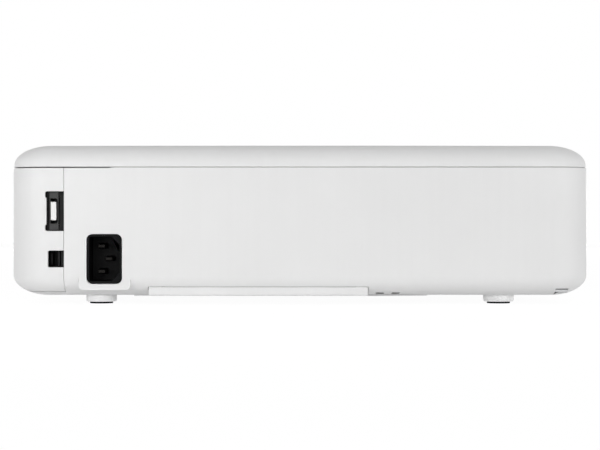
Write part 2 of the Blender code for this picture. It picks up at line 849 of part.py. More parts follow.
def control_board_spans():
    return (
        span(KEYS_X + CONTROL_BOARD_SHIFT, CONTROL_BOARD_SIZE[0]),
        span(KEYS_Y, CONTROL_BOARD_SIZE[1]),
        rise(TOP - CONTROL_BOARD_DROP - BOARD_THICK, BOARD_THICK),
    )


def control_posts():
    """Four posts that carry the control board under the top cover."""
    x, y, z = control_board_spans()
    across = grown(x, -CONTROL_POST_INSET)
    deep = grown(y, -CONTROL_POST_INSET)
    tools = []
    for number, (px, py) in enumerate((a, b) for a in across for b in deep):
        tools.append(
            rod(
                f"control_post_{number}",
                CONTROL_POST,
                (z[1] + GAP, CEILING + COVER_WALL / 2),
                along("Z", px, py, 0),
                sides=12,
            )
        )
    return tools


def top_cover():
    shape = body_skin(COVER_STEP)
    open_at(shape, SEAM + SEAM_GAP / 2, keep_above=True)
    cover = shell("top_cover", shape, COVER_WALL, WHITE_ABS)
    join(cover, *control_posts())
    through = (CEILING - OVERRUN / 2, TOP + OVERRUN)
    for name, (x, y) in key_places().items():
        hole = rod(
            f"{name}_hole",
            KEY_RADIUS + GAP,
            through,
            along("Z", KEYS_X + x, KEYS_Y + y, 0),
            sides=20,
        )
        cut(cover, hole)
    for number, (x, y) in enumerate(light_places()):
        hole = rod(f"light_hole_{number}", LIGHT_RADIUS + GAP, through, along("Z", x, y, 0), sides=10)
        cut(cover, hole)
    slot = block(
        "keystone_slot",
        grown(span(KEYSTONE_X, KEYSTONE_KNOB[0] + 2 * KEYSTONE_TRAVEL), GAP),
        grown(span(KEYS_Y, KEYSTONE_KNOB[1]), GAP),
        through,
    )
    cut(cover, slot)


def port_cover():
    shape = body_skin(0)
    open_at(shape, SEAM - SEAM_GAP / 2, keep_above=False)
    panel = shell("port_cover", shape, WALL, WHITE_ABS)
    combine(panel, "INTERSECT", port_region("port_cover_region", PANEL_GAP, OVERRUN))
    inner_side = ("Y", NOTCH_RADIUS, 3, lambda middle: middle.x < 0)
    through = (REAR - OVERRUN, REAR + WALL + OVERRUN)
    right = PORT_SEAM_X + OVERRUN
    hdmi = block(
        "hdmi_notch",
        (PORT_SEAM_X - HDMI_NOTCH_WIDTH, right),
        through,
        rise(HDMI_NOTCH_LOW, HDMI_NOTCH_HEIGHT),
        corner=inner_side,
    )
    service = block(
        "service_notch",
        (PORT_SEAM_X - SERVICE_NOTCH_WIDTH, right),
        through,
        rise(SERVICE_NOTCH_LOW, SERVICE_NOTCH_HEIGHT),
        corner=inner_side,
    )
    cut(panel, hdmi, service)


def hdmi_spans():
    """The HDMI socket stands on the main board, its middle at the middle of the notch."""
    board_face = MAIN_BOARD_X - BOARD_THICK / 2
    x = (board_face - GAP - HDMI_TUBE[0], board_face - GAP)
    z = span(HDMI_NOTCH_LOW + HDMI_NOTCH_HEIGHT / 2, HDMI_TUBE[2])
    y = rise(BRACKET_REAR - GAP - HDMI_FLANGE[1], HDMI_TUBE[1])
    return x, y, z


def service_spans():
    board_face = MAIN_BOARD_X - BOARD_THICK / 2
    x = (board_face - GAP - SERVICE_SIZE[0], board_face - GAP)
    z = span(SERVICE_NOTCH_LOW + SERVICE_NOTCH_HEIGHT / 2, SERVICE_SIZE[2])
    y = rise(BRACKET_REAR - GAP - HDMI_FLANGE[1], SERVICE_SIZE[1])
    return x, y, z


def port_bracket():
    """The dark plate behind the port cover that frames the two sockets."""
    z = (MAIN_BOARD_LOW, MAIN_BOARD_LOW + MAIN_BOARD_HEIGHT)
    y = rise(BRACKET_REAR, BRACKET_THICK)
    bracket = block("port_bracket", BRACKET_X, y, z, BLACK_ABS)
    through = grown(y, OVERRUN)
    for name, spans in (("hdmi", hdmi_spans()), ("service", service_spans())):
        x, _, height = spans
        cut(bracket, block(f"{name}_window", grown(x, GAP), through, grown(height, GAP)))


def hdmi_socket():
    x, y, z = hdmi_spans()
    narrow = ("Y", HDMI_CHAMFER, 1, lambda middle: middle.x > 0)
    tube = block("hdmi_shell", x, y, z, STEEL, corner=narrow)
    flange = block(
        "hdmi_flange",
        span(sum(x) / 2, HDMI_FLANGE[0]),
        rise(y[0], HDMI_FLANGE[1]),
        span(sum(z) / 2, HDMI_FLANGE[2]),
    )
    join(tube, flange)
    hollow_y = (y[0] - OVERRUN, y[1] - HDMI_TUBE_WALL)
    hollow = block(
        "hdmi_hollow", grown(x, -HDMI_TUBE_WALL), hollow_y, grown(z, -HDMI_TUBE_WALL), corner=narrow
    )
    cut(tube, hollow)
    room = HDMI_TUBE_WALL + GAP
    block(
        "hdmi_insert",
        grown(x, -room),
        (y[0] + HDMI_INSERT_BACK, y[1] - room),
        grown(z, -room),
        LIGHT_INSERT,
        corner=narrow,
    )


def service_socket():
    x, y, z = service_spans()
    socket = block("service_socket", x, y, z, BLACK_ABS)
    pocket_y = (y[0] - OVERRUN, y[0] + SERVICE_POCKET)
    cut(socket, block("service_pocket", grown(x, -SERVICE_WALL), pocket_y, grown(z, -SERVICE_WALL)))


def main_board():
    """The board that stands on edge behind the port cover, with its chips."""
    x = span(MAIN_BOARD_X, BOARD_THICK)
    y = rise(MAIN_BOARD_REAR, MAIN_BOARD_LENGTH)
    z = rise(MAIN_BOARD_LOW, MAIN_BOARD_HEIGHT)
    board = block("main_board", x, y, z, BOARD)
    for number, (along_share, up_share, long_share, high_share) in enumerate(CHIP_SHARES):
        chip = block(
            f"chip_{number}",
            (x[0], x[1] + CHIP_HEIGHT),
            span(y[0] + along_share * MAIN_BOARD_LENGTH, long_share * MAIN_BOARD_LENGTH),
            span(z[0] + up_share * MAIN_BOARD_HEIGHT, high_share * MAIN_BOARD_HEIGHT),
        )
        join(board, chip)


def blade_places():
    """The middles of the live, neutral and earth blades, across and up."""
    outer = INLET_X - BLADE_OFFSET
    return {
        "inlet_live_blade": (outer, INLET_Z + BLADE_PITCH / 2),
        "inlet_neutral_blade": (outer, INLET_Z - BLADE_PITCH / 2),
        "inlet_earth_blade": (INLET_X + BLADE_OFFSET, INLET_Z),
    }


def mains_inlet():
    """The black inlet, turned a quarter so that its long side stands up."""
    housing = block(
        "inlet_housing",
        span(INLET_X, INLET_SIZE[0]),
        rise(REAR, INLET_SIZE[1]),
        span(INLET_Z, INLET_SIZE[2]),
        BLACK_ABS,
        corner=("Y", INLET_RADIUS, 3, None),
    )
    flange = block(
        "inlet_flange",
        span(INLET_X, INLET_FLANGE[0]),
        rise(REAR + PAD_SIDE[1] + GAP, INLET_FLANGE[1]),
        span(INLET_Z, INLET_FLANGE[2]),
    )
    join(housing, flange)
    socket = block(
        "inlet_socket",
        span(INLET_X, INLET_SOCKET[0]),
        (REAR - OVERRUN, REAR + INLET_SOCKET[1]),
        span(INLET_Z, INLET_SOCKET[2]),
        corner=("Y", INLET_CHAMFER, 1, lambda middle: middle.x > 0),
    )
    cut(housing, socket)
    for name, (x, z) in blade_places().items():
        sides_x = span(x, BLADE_SIZE[0])
        sides_z = span(z, BLADE_SIZE[2])
        hole_y = (REAR + BLADE_RECESS, REAR + INLET_SIZE[1] + OVERRUN)
        cut(housing, block(f"{name}_hole", grown(sides_x, GAP), hole_y, grown(sides_z, GAP)))
        blade_y = rise(REAR + BLADE_RECESS, BLADE_SIZE[1])
        block(name, sides_x, blade_y, sides_z, BRASS)


def filter_cover():
    """The slotted cover under the body, with the upright lip that shows at the rear."""
    wide, tongue = filter_spans(0)
    z = rise(UNDERSIDE - FILTER_PROUD, FILTER_PLATE)
    cover = block("filter_cover", *wide, z, WHITE_ABS)
    lip = block(
        "filter_lip",
        tongue[0],
        tongue[1],
        (z[0], LIP_TOP),
        corner=("X", LIP_ROUND, 2, lambda middle: middle.y < 0 and middle.z < 0),
    )
    hollow = block(
        "filter_lip_hollow",
        grown(tongue[0], OVERRUN),
        (tongue[1][0] + LIP_THICK, tongue[1][1] + OVERRUN),
        (z[1], LIP_TOP + OVERRUN),
    )
    cut(lip, hollow)
    join(cover, lip)
    pitch = (wide[0][1] - wide[0][0]) / (INTAKE_SLOTS + 1)
    middle_y = sum(wide[1]) / 2
    centres = [(wide[0][0] + (n + 1) * pitch, middle_y, sum(z) / 2) for n in range(INTAKE_SLOTS)]
    slots = block_row(
        "intake_slots", centres, INTAKE_SLOT_WIDTH, INTAKE_SLOT_LENGTH, 2 * FILTER_PLATE
    )
    cut(cover, slots)


def air_filter():
    wide, tongue = filter_spans(0)
    plate_top = UNDERSIDE - FILTER_PROUD + FILTER_PLATE
    block(
        "air_filter",
        grown(tongue[0], -FILTER_MARGIN),
        (LIP_REAR + LIP_THICK + GAP, wide[1][1] - FILTER_MARGIN),
        rise(plate_top + GAP, FILTER_THICK),
        FOAM,
    )


def foot_profile(top):
    """A round foot with a shallow recess below for its rubber pad."""
    recess = PAD_RADIUS_FOOT + GAP
    return [
        (0, top),
        (FOOT_RADIUS, top),
        (FOOT_RADIUS - FOOT_TAPER, PAD_SHOWN),
        (recess, PAD_SHOWN),
        (recess, PAD_SHOWN + PAD_SUNK + GAP),
        (0, PAD_SHOWN + PAD_SUNK + GAP),
    ]


def pad_profile():
    return [
        (0, PAD_SHOWN + PAD_SUNK),
        (PAD_RADIUS_FOOT, PAD_SHOWN + PAD_SUNK),
        (PAD_RADIUS_FOOT, 0),
        (0, 0),
    ]


def rear_feet():
    for side, x in (("left", -FOOT_X), ("right", FOOT_X)):
        place = along("Z", x, FOOT_Y, 0)
        turned(f"rear_foot_{side}", foot_profile(UNDERSIDE - GAP), place, WHITE_ABS)
        turned(f"rear_foot_pad_{side}", pad_profile(), place, RUBBER)


def front_foot():
    """The foot that slides down out of its guide, and the lever that frees it."""
    place = along("Z", 0, FRONT_FOOT_Y, 0)
    foot = foot_profile(UNDERSIDE - GAP)
    leg = [(0, LEG_TOP), (LEG_RADIUS, LEG_TOP), (LEG_RADIUS, UNDERSIDE - GAP)] + foot[1:]
    turned("front_foot_leg", leg, place, WHITE_ABS)
    turned("front_foot_pad", pad_profile(), place, RUBBER)
    block(
        "foot_release_lever",
        span(0, RELEASE_SIZE[0]),
        rise(RELEASE_REAR, RELEASE_SIZE[1]),
        rise(RELEASE_LOW, RELEASE_SIZE[2]),
        WHITE_ABS,
    )


def security_bar():
    """The bar that a cable lock loops round, in the pocket at the rear right corner."""
    block(
        "security_bar",
        grown(SECURITY_X, -GAP),
        span(SECURITY_BAR_Y, SECURITY_BAR),
        (SECURITY_Z - GAP - SECURITY_BAR, SECURITY_Z - GAP),
        STEEL,
    )


def lens_profile(radius, edge, bulges, steps):
    """Down the outer side of a lens whose two faces bulge by the given heights."""
    back, front = bulges
    turns = [math.sin(math.radians(90) * n / steps) for n in range(steps + 1)]
    upper = [(radius * t, edge + front * math.sqrt(1 - t * t)) for t in turns]
    if back:
        lower = [(radius * t, -back * math.sqrt(1 - t * t)) for t in reversed(turns)]
    else:
        lower = [(radius, 0), (0, 0)]
    return upper + lower


def lens_group():
    def at(y):
        return along("Y", LENS_X, y, LENS_Z)

    depth = SURROUND_FRONT - SURROUND_REAR
    surround = turned(
        "lens_surround",
        [
            (SURROUND_RADIUS, depth),
            (SURROUND_RADIUS, 0),
            (SURROUND_PORT, 0),
            (SURROUND_PORT, SURROUND_FLOOR),
            (SURROUND_BACK, SURROUND_FLOOR),
            (SURROUND_MOUTH, depth),
        ],
        at(SURROUND_REAR),
        BLACK_ABS,
        closed=True,
        steps=32,
    )
    foot = block(
        "surround_foot",
        span(LENS_X, SURROUND_FOOT[0]),
        rise(SURROUND_REAR + GAP, SURROUND_FOOT[1]),
        rise(ON_FLOOR, SURROUND_FOOT[2]),
    )
    join(surround, foot)
    length = BARREL_FRONT - BARREL_REAR
    bore = BARREL_RADIUS - BARREL_WALL
    turned(
        "lens_barrel",
        [
            (BARREL_RADIUS, length),
            (BARREL_RADIUS, BARREL_FLANGE_THICK),
            (BARREL_FLANGE, BARREL_FLANGE_THICK),
            (BARREL_FLANGE, 0),
            (BARREL_PORT, 0),
            (BARREL_PORT, BARREL_FLANGE_THICK),
            (bore, BARREL_FLANGE_THICK),
            (bore, length),
        ],
        at(BARREL_REAR),
        BLACK_ABS,
        closed=True,
        steps=32,
    )
    glass_radius = bore - GAP
    front = lens_profile(glass_radius, FRONT_LENS_EDGE, FRONT_LENS_BULGE, LENS_STEPS)
    turned("front_lens", front, at(FRONT_LENS_REAR), GLASS, steps=32)
    rear = lens_profile(glass_radius, REAR_LENS_EDGE, REAR_LENS_BULGE, LENS_STEPS)
    turned("rear_lens", rear, at(BARREL_REAR + BARREL_FLANGE_THICK + GAP), GLASS, steps=32)
    inner = BARREL_RADIUS + GAP
    outer = inner + RING_WALL
    ring = turned(
        "focus_ring",
        [(outer, RING_LENGTH), (outer, 0), (inner, 0), (inner, RING_LENGTH)],
        at(RING_REAR),
        GREY_ABS,
        closed=True,
        steps=32,
    )
    knob_low = BARREL_RADIUS + 3 * GAP
    knob = block(
        "focus_knob",
        span(LENS_X, RING_KNOB[0]),
        (RING_REAR + RING_LENGTH / 2, RING_REAR + RING_LENGTH / 2 + RING_KNOB[1]),
        rise(LENS_Z + knob_low, RING_KNOB[2]),
    )
    join(ring, knob)


def lens_cover():
    """The plate that slides across in front of the lens, with the ridge that a finger pushes."""
    x = rise(SHUTTER_LEFT, SHUTTER_WIDTH)
    y = (SHUTTER_FRONT - SHUTTER_THICK, SHUTTER_FRONT)
    plate = block("lens_cover", x, y, span(LENS_Z, SHUTTER_HEIGHT), BLACK_ABS)
    knob = block(
        "lens_cover_knob",
        rise(SHUTTER_LEFT + SHUTTER_KNOB_INSET, SHUTTER_KNOB[0]),
        (y[0] + SHUTTER_THICK / 2, SHUTTER_FRONT + SHUTTER_KNOB[1]),
        span(LENS_Z, SHUTTER_KNOB[2]),
    )
    join(plate, knob)


def exhaust_grille():
    """The slatted panel in the front wall that the hot air leaves through."""
    z = exhaust_centre_z()
    x_span = span(GRILLE_X, GRILLE_SIZE[0])
    panel = block(
        "exhaust_grille", x_span, (FRONT_INSIDE, FRONT), span(z, GRILLE_SIZE[1]), WHITE_ABS
    )
    pitch = GRILLE_SIZE[0] / (GRILLE_SLOTS + 1)
    middle = (FRONT_INSIDE + FRONT) / 2
    centres = [(x_span[0] + (n + 1) * pitch, middle, z) for n in range(GRILLE_SLOTS)]
    cut(panel, block_row("grille_slots", centres, GRILLE_SLOT[0], 2 * WALL, GRILLE_SLOT[1]))


def receiver_window():
    block(
        "receiver_window",
        span(RECEIVER_X, RECEIVER_SIZE[0]),
        (FRONT - RECEIVER_DEPTH, FRONT - KEY_SUNK),
        span(RECEIVER_Z, RECEIVER_SIZE[1]),
        SMOKE,
        corner=("Y", RECEIVER_RADIUS, 3, None),
    )


def fan(name, side, frame):
    """A square axial fan about a frame's own Z: its frame with a spider, and its rotor."""
    half = FAN_DEPTH / 2
    ends = (-half, half)
    bore = side / 2 - FAN_RIM
    hub = FAN_HUB_SHARE * side
    square = span(0, side)
    housing = block(
        f"{name}_fan_frame", square, square, ends, BLACK_ABS, ("Z", FAN_CORNER, 2, None), frame
    )
    cut(housing, rod(f"{name}_bore", bore, grown(ends, OVERRUN), frame, sides=32))
    arm = span(0, FAN_ARM)
    spider = (-half, -half + FAN_ARM)
    reach = grown(square, -FAN_RIM / 2)
    join(
        housing,
        block(f"{name}_arm_0", reach, arm, spider, frame=frame),
        block(f"{name}_arm_1", arm, reach, spider, frame=frame),
        rod(f"{name}_motor", hub, spider, frame),
    )
    cut(housing, rod(f"{name}_shaft_hole", FAN_SHAFT + GAP, grown(spider, OVERRUN), frame, sides=12))
    hub_low = spider[1] + GAP
    hub_high = half - GAP
    rotor = rod(f"{name}_fan_rotor", hub, (hub_low, hub_high), frame, GREY_ABS)
    join(rotor, rod(f"{name}_shaft", FAN_SHAFT, (-half + GAP, hub_low + GAP), frame, sides=12))
    root = hub - FAN_BLADE[1]
    tip = bore - FAN_TIP_GAP
    middle = (hub_low + hub_high) / 2
    for number in range(FAN_BLADES):
        turn = Matrix.Rotation(math.radians(360) * number / FAN_BLADES, 4, "Z")
        tilt = Matrix.Rotation(FAN_TILT, 4, "X")
        place = frame @ turn @ Matrix.Translation((0, 0, middle)) @ tilt
        blade = block(
            f"{name}_blade_{number}",
            (root, tip),
            span(0, FAN_BLADE[0]),
            span(0, FAN_BLADE[1]),
            frame=place,
        )
        join(rotor, blade)


def fans():
    fan("exhaust", EXHAUST_SIDE, along("Y", GRILLE_X, EXHAUST_Y, exhaust_centre_z()))
    fan("intake", INTAKE_SIDE, along("Z", INTAKE_X, INTAKE_Y, INTAKE_LOW + FAN_DEPTH / 2))


def optical_engine():
    """The tray behind the lens with the prism, the three panels round it, and its lid."""
    z = rise(ON_FLOOR, ENGINE_HEIGHT)
    tray = block("optical_engine_case", ENGINE_X, ENGINE_Y, z, MAGNESIUM)
    hollow = block(
        "engine_hollow",
        grown(ENGINE_X, -ENGINE_WALL),
        grown(ENGINE_Y, -ENGINE_WALL),
        (z[0] + ENGINE_WALL, z[1] + OVERRUN),
    )
    cut(tray, hollow)
    prism_low = LENS_Z - PRISM_SIDE / 2
    pedestal = block(
        "prism_pedestal",
        span(LENS_X, PEDESTAL_SIDE),
        span(PRISM_Y, PEDESTAL_SIDE),
        (z[0] + ENGINE_WALL / 2, prism_low - GAP),
    )
    join(tray, pedestal)
    front_port = rod(
        "engine_front_port",
        LIGHT_PORT,
        (ENGINE_Y[1] - 2 * ENGINE_WALL, ENGINE_Y[1] + OVERRUN),
        along("Y", LENS_X, 0, LENS_Z),
    )
    lamp_port = rod(
        "engine_lamp_port",
        LIGHT_PORT,
        (ENGINE_Y[0] - OVERRUN, ENGINE_Y[0] + 2 * ENGINE_WALL),
        along("Y", sum(LAMP_X) / 2, 0, LENS_Z),
    )
    cut(tray, front_port, lamp_port)
    block("engine_lid", ENGINE_X, ENGINE_Y, rise(z[1] + GAP, ENGINE_LID), MAGNESIUM)
    up = rise(prism_low, PRISM_SIDE)
    block("dichroic_prism", span(LENS_X, PRISM_SIDE), span(PRISM_Y, PRISM_SIDE), up, GLASS)
    away = PRISM_SIDE / 2 + GAP + PANEL_THICK / 2
    panel_up = rise(prism_low, PANEL_SIDE)
    flat = span(LENS_X, PANEL_SIDE)
    block("lcd_panel_green", flat, span(PRISM_Y - away, PANEL_THICK), panel_up, SMOKE)
    deep = span(PRISM_Y, PANEL_SIDE)
    block("lcd_panel_blue", span(LENS_X - away, PANEL_THICK), deep, panel_up, SMOKE)
    block("lcd_panel_red", span(LENS_X + away, PANEL_THICK), deep, panel_up, SMOKE)


def lamp():
    """The lamp box, open towards the engine, with its reflector and burner."""
    z = rise(ON_FLOOR, LAMP_HEIGHT)
    box = block("lamp_housing", LAMP_X, LAMP_Y, z, GREY_ABS)
    hollow = block(
        "lamp_hollow",
        grown(LAMP_X, -LAMP_WALL),
        (LAMP_Y[0] + LAMP_WALL, LAMP_Y[1] + OVERRUN),
        grown(z, -LAMP_WALL),
    )
    cut(box, hollow)
    x = sum(LAMP_X) / 2
    seat = block(
        "lamp_seat",
        span(x, 2 * REFLECTOR_NECK),
        (LAMP_Y[0] + LAMP_WALL / 2, LAMP_Y[1] - REFLECTOR_LENGTH - LAMP_WALL - GAP),
        (z[0] + LAMP_WALL / 2, LENS_Z + REFLECTOR_NECK),
    )
    join(box, seat)
    frame = along("Y", x, LAMP_Y[1] - LAMP_WALL - REFLECTOR_LENGTH, LENS_Z)
    outer = []
    inner = []
    for n in range(REFLECTOR_STEPS + 1):
        share = 1 - n / REFLECTOR_STEPS
        height = REFLECTOR_LENGTH * share
        width = REFLECTOR_NECK + (REFLECTOR_RADIUS - REFLECTOR_NECK) * math.sqrt(share)
        outer.append((width, height))
        inner.append((width - REFLECTOR_WALL, height))
    turned("lamp_reflector", outer + inner[::-1], frame, GLASS, closed=True)
    neck_bore = REFLECTOR_NECK - REFLECTOR_WALL
    stem = neck_bore - GAP
    turned(
        "lamp_burner",
        [
            (0, BURNER_LENGTH),
            (BURNER_RADIUS / 2, BURNER_LENGTH),
            (BURNER_RADIUS, BURNER_LENGTH / 2 + BURNER_BULB),
            (BURNER_BULB, BURNER_LENGTH / 2),
            (BURNER_RADIUS, BURNER_LENGTH / 2 - BURNER_BULB),
            (stem, REFLECTOR_WALL),
            (stem, GAP),
            (0, GAP),
        ],
        frame,
        GLASS,
        steps=16,
    )


def power_supply():
    """The power board on its rails, with transformer, capacitor and heat sink."""
    board_z = rise(SUPPLY_LOW, BOARD_THICK)
    board = block("power_supply_board", SUPPLY_X, SUPPLY_Y, board_z, BOARD)
    length = SUPPLY_Y[1] - SUPPLY_Y[0]
    middle = sum(SUPPLY_X) / 2
    base = board_z[0] + BOARD_THICK / 2
    transformer = block(
        "transformer",
        span(middle, TRANSFORMER[0]),
        span(SUPPLY_Y[0] + TRANSFORMER_SHARE * length, TRANSFORMER[1]),
        rise(base, TRANSFORMER[2]),
    )
    capacitor = rod(
        "capacitor",
        CAPACITOR_RADIUS,
        rise(base, CAPACITOR_HEIGHT),
        along("Z", middle, SUPPLY_Y[0] + CAPACITOR_SHARE * length, 0),
        sides=16,
    )
    sink = block(
        "heat_sink",
        (SUPPLY_X[1] - 2 * SINK[0], SUPPLY_X[1] - SINK[0]),
        span(SUPPLY_Y[0] + SINK_SHARE * length, SINK[1]),
        rise(base, SINK[2]),
    )
    join(board, transformer, capacitor, sink)


def speaker():
    """A small round loudspeaker against the slots in the left wall."""
    face = SPEAKER_DEPTH
    turned(
        "speaker",
        [
            (0, face),
            (SPEAKER_BACK, face),
            (SPEAKER_BACK, face / 2),
            (SPEAKER_RADIUS, face / 4),
            (SPEAKER_RADIUS, 0),
            (SPEAKER_CONE, 0),
            (0, SPEAKER_DISH),
        ],
        along("X", -SIDE + WALL + GAP, SPEAKER_Y, SPEAKER_Z),
        BLACK_ABS,
    )


def key_profile(top):
    """One key: a round cap, a flange that holds it under the cover and a plunger below."""
    ceiling = CEILING - GAP
    flange_low = ceiling - KEY_FLANGE_THICK
    board_top = control_board_spans()[2][1]
    return [
        (0, top),
        (KEY_RADIUS, top),
        (KEY_RADIUS, ceiling),
        (KEY_RADIUS + KEY_FLANGE, ceiling),
        (KEY_RADIUS + KEY_FLANGE, flange_low),
        (KEY_PLUNGER, flange_low),
        (KEY_PLUNGER, board_top + KEY_TRAVEL + GAP),
        (0, board_top + KEY_TRAVEL + GAP),
    ]


def keys():
    for name, (x, y) in key_places().items():
        place = along("Z", KEYS_X + x, KEYS_Y + y, 0)
        turned(name, key_profile(TOP - KEY_SUNK), place, WHITE_ABS, steps=20)


def control_board():
    block("control_board", *control_board_spans(), BOARD)


def light_pipe():
    """Three clear pips on one bar, which carry the indicator lights to the surface."""
    places = light_places()
    low = control_board_spans()[2][1] + GAP
    x = (places[0][0] - LIGHT_BAR[0] / 2, places[-1][0] + LIGHT_BAR[0] / 2)
    pipe = block("light_pipe", x, span(places[0][1], LIGHT_BAR[0]), rise(low, LIGHT_BAR[1]), CLEAR)
    for number, (px, py) in enumerate(places):
        ends = (low + LIGHT_BAR[1] / 2, TOP - KEY_SUNK)
        join(pipe, rod(f"light_pip_{number}", LIGHT_RADIUS, ends, along("Z", px, py, 0), sides=10))


def keystone_slider():
    """The knob that slides across in the top cover, on a carrier under it."""
    carrier = block(
        "keystone_slider",
        span(KEYSTONE_X, KEYSTONE_CARRIER[0]),
        span(KEYS_Y, KEYSTONE_CARRIER[1]),
        (CEILING - GAP - KEYSTONE_CARRIER[2], CEILING - GAP),
        WHITE_ABS,
    )
    knob_x = span(KEYSTONE_X, KEYSTONE_KNOB[0])
    knob = block(
        "keystone_knob",
        knob_x,
        span(KEYS_Y, KEYSTONE_KNOB[1]),
        (CEILING - GAP - KEYSTONE_CARRIER[2] / 2, TOP - KEY_SUNK),
    )
    join(carrier, knob)
    pitch = KEYSTONE_KNOB[0] / (KEYSTONE_RIBS + 1)
    centres = [(knob_x[0] + (n + 1) * pitch, KEYS_Y, TOP) for n in range(KEYSTONE_RIBS)]
    cut(
        carrier,
        block_row("keystone_grooves", centres, KEYSTONE_RIB, 2 * KEYSTONE_KNOB[1], 2 * KEYSTONE_RIB),
    )


lower_case()
top_cover()
port_cover()
port_bracket()
hdmi_socket()
service_socket()
main_board()
mains_inlet()
filter_cover()
air_filter()
rear_feet()
front_foot()
security_bar()
lens_group()
lens_cover()
exhaust_grille()
receiver_window()
fans()
optical_engine()
lamp()
power_supply()
speaker()
keys()
control_board()
light_pipe()
keystone_slider()
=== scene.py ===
import math

import bmesh
import bpy
from mathutils import Matrix, Vector


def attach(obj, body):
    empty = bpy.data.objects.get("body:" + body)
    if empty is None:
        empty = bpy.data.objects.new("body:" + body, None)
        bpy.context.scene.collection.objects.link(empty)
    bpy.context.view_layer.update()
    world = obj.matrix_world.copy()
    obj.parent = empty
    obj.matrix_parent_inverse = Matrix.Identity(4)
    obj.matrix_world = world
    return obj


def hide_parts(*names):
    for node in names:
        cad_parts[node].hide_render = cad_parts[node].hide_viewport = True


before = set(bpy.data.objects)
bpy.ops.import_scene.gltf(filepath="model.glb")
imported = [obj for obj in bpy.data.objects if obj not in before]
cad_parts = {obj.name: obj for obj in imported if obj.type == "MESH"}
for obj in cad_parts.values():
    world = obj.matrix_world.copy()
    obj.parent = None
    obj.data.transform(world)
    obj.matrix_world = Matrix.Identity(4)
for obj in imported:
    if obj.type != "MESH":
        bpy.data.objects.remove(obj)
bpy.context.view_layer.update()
scene = bpy.context.scene
scene.view_settings.view_transform = "Standard"
MM = 0.001


# ---- the view
# Level with the middle of the case, square to the rear face and 1 m behind it, so that no side
# of the case shows. The inlet's 14 mm blade pitch against the outline gives that distance.
EYE = (0, -1.1055, 0.044)
LENS = 109.5


def placed(name, data):
    """A new object in the scene."""
    item = bpy.data.objects.new(name, data)
    scene.collection.objects.link(item)
    return item


camera = placed("camera", bpy.data.cameras.new("camera"))
camera.location = EYE
camera.rotation_euler = (math.radians(90), 0, 0)
camera.data.lens = LENS
scene.camera = camera


# ---- the studio
# A white paper floor in an even white room. Long soft boxes stand behind, before, above and on
# both sides of the projector, and two small ones lie low behind it. The room and the floor are
# white to the eye and dimmer as lights.
AMBIENT = 0.43  # the room's strength as a light, level with the floor
AMBIENT_FALL = 0.08  # what it loses towards the zenith, and gains below
FLOOR_SIDE = 6.0
FLOOR_GLOW = 0.95  # the floor's own light to the eye, on which a shadow shows
TABLE_GLOW = 0.12  # what it adds to the light below the case
LIT_AT = Vector((0, 0, 0.04))
LOW_BOX, BOX_HEIGHT = 0.08, 0.24


def linear(code):
    """The linear colour of an sRGB hex value."""
    levels = [int(code[n : n + 2], 16) / 255 for n in (1, 3, 5)]
    return (*(v / 12.92 if v <= 0.04045 else ((v + 0.055) / 1.055) ** 2.4 for v in levels), 1)


def add_node(tree, kind, sockets=None, **settings):
    """Add a shader node with its settings. A socket takes a value or another node's output."""
    made = tree.nodes.new(kind)
    for name, value in settings.items():
        setattr(made, name, value)
    for name, value in (sockets or {}).items():
        if isinstance(value, bpy.types.NodeSocket):
            tree.links.new(value, made.inputs[name])
        else:
            made.inputs[name].default_value = value
    return made


def emptied(item):
    """A new material or world, with its node tree emptied."""
    item.use_nodes = True
    item.node_tree.nodes.clear()
    return item, item.node_tree


def seen_by_eye(tree):
    """1 for what the camera sees itself, in a gloss or through glass, and 0 for what lights."""
    path = add_node(tree, "ShaderNodeLightPath").outputs
    pair = {0: path["Is Camera Ray"], 1: path["Is Glossy Ray"]}
    either = add_node(tree, "ShaderNodeMath", pair, operation="MAXIMUM")
    pair = {0: either.outputs[0], 1: path["Is Transmission Ray"]}
    return add_node(tree, "ShaderNodeMath", pair, operation="MAXIMUM").outputs[0]


def soft_box(name, place, width, height, power):
    """An oblong area lamp that faces the projector."""
    lamp = bpy.data.lights.new(name, "AREA")
    lamp.shape = "RECTANGLE"
    lamp.size = width
    lamp.size_y = height
    lamp.energy = power
    item = placed(name, lamp)
    item.location = place
    item.rotation_euler = (Vector(place) - LIT_AT).to_track_quat("Z", "Y").to_euler()
    item.visible_camera = False


# The last number is in watts. The right side gets more, as in the photograph.
soft_box("rear_soft_box", (0, -2.2, 0.9), 1.6, BOX_HEIGHT, 5.2)
soft_box("overhead_soft_box", (0, -0.5, 2.2), 1.6, 0.8, 2.8)
soft_box("left_soft_box", (-2.0, -1.3, 0.14), 1.4, BOX_HEIGHT, 3.6)
soft_box("right_soft_box", (2.0, -1.3, 0.14), 1.4, BOX_HEIGHT, 10.5)
soft_box("front_soft_box", (0, 2.3, 0.14), 2.4, BOX_HEIGHT, 24)
soft_box("low_left_soft_box", (-0.3, -0.45, 0.05), 0.16, LOW_BOX, 0.40)
soft_box("low_right_soft_box", (0.3, -0.45, 0.05), 0.16, LOW_BOX, 0.16)

room, tree = emptied(bpy.data.worlds.new("white room"))
scene.world = room
skyward = add_node(tree, "ShaderNodeTexCoord").outputs["Generated"]
skyward = add_node(tree, "ShaderNodeSeparateXYZ", {"Vector": skyward}).outputs["Z"]
fall = {0: skyward, 1: -AMBIENT_FALL, 2: AMBIENT}
fall = add_node(tree, "ShaderNodeMath", fall, operation="MULTIPLY_ADD")
pair = {0: seen_by_eye(tree), 2: fall.outputs[0], 3: 1.0}
level = add_node(tree, "ShaderNodeMix", pair, data_type="FLOAT")
white_air = {"Color": linear("#FFFFFF"), "Strength": level.outputs[0]}
air = add_node(tree, "ShaderNodeBackground", white_air)
add_node(tree, "ShaderNodeOutputWorld", {"Surface": air.outputs[0]})

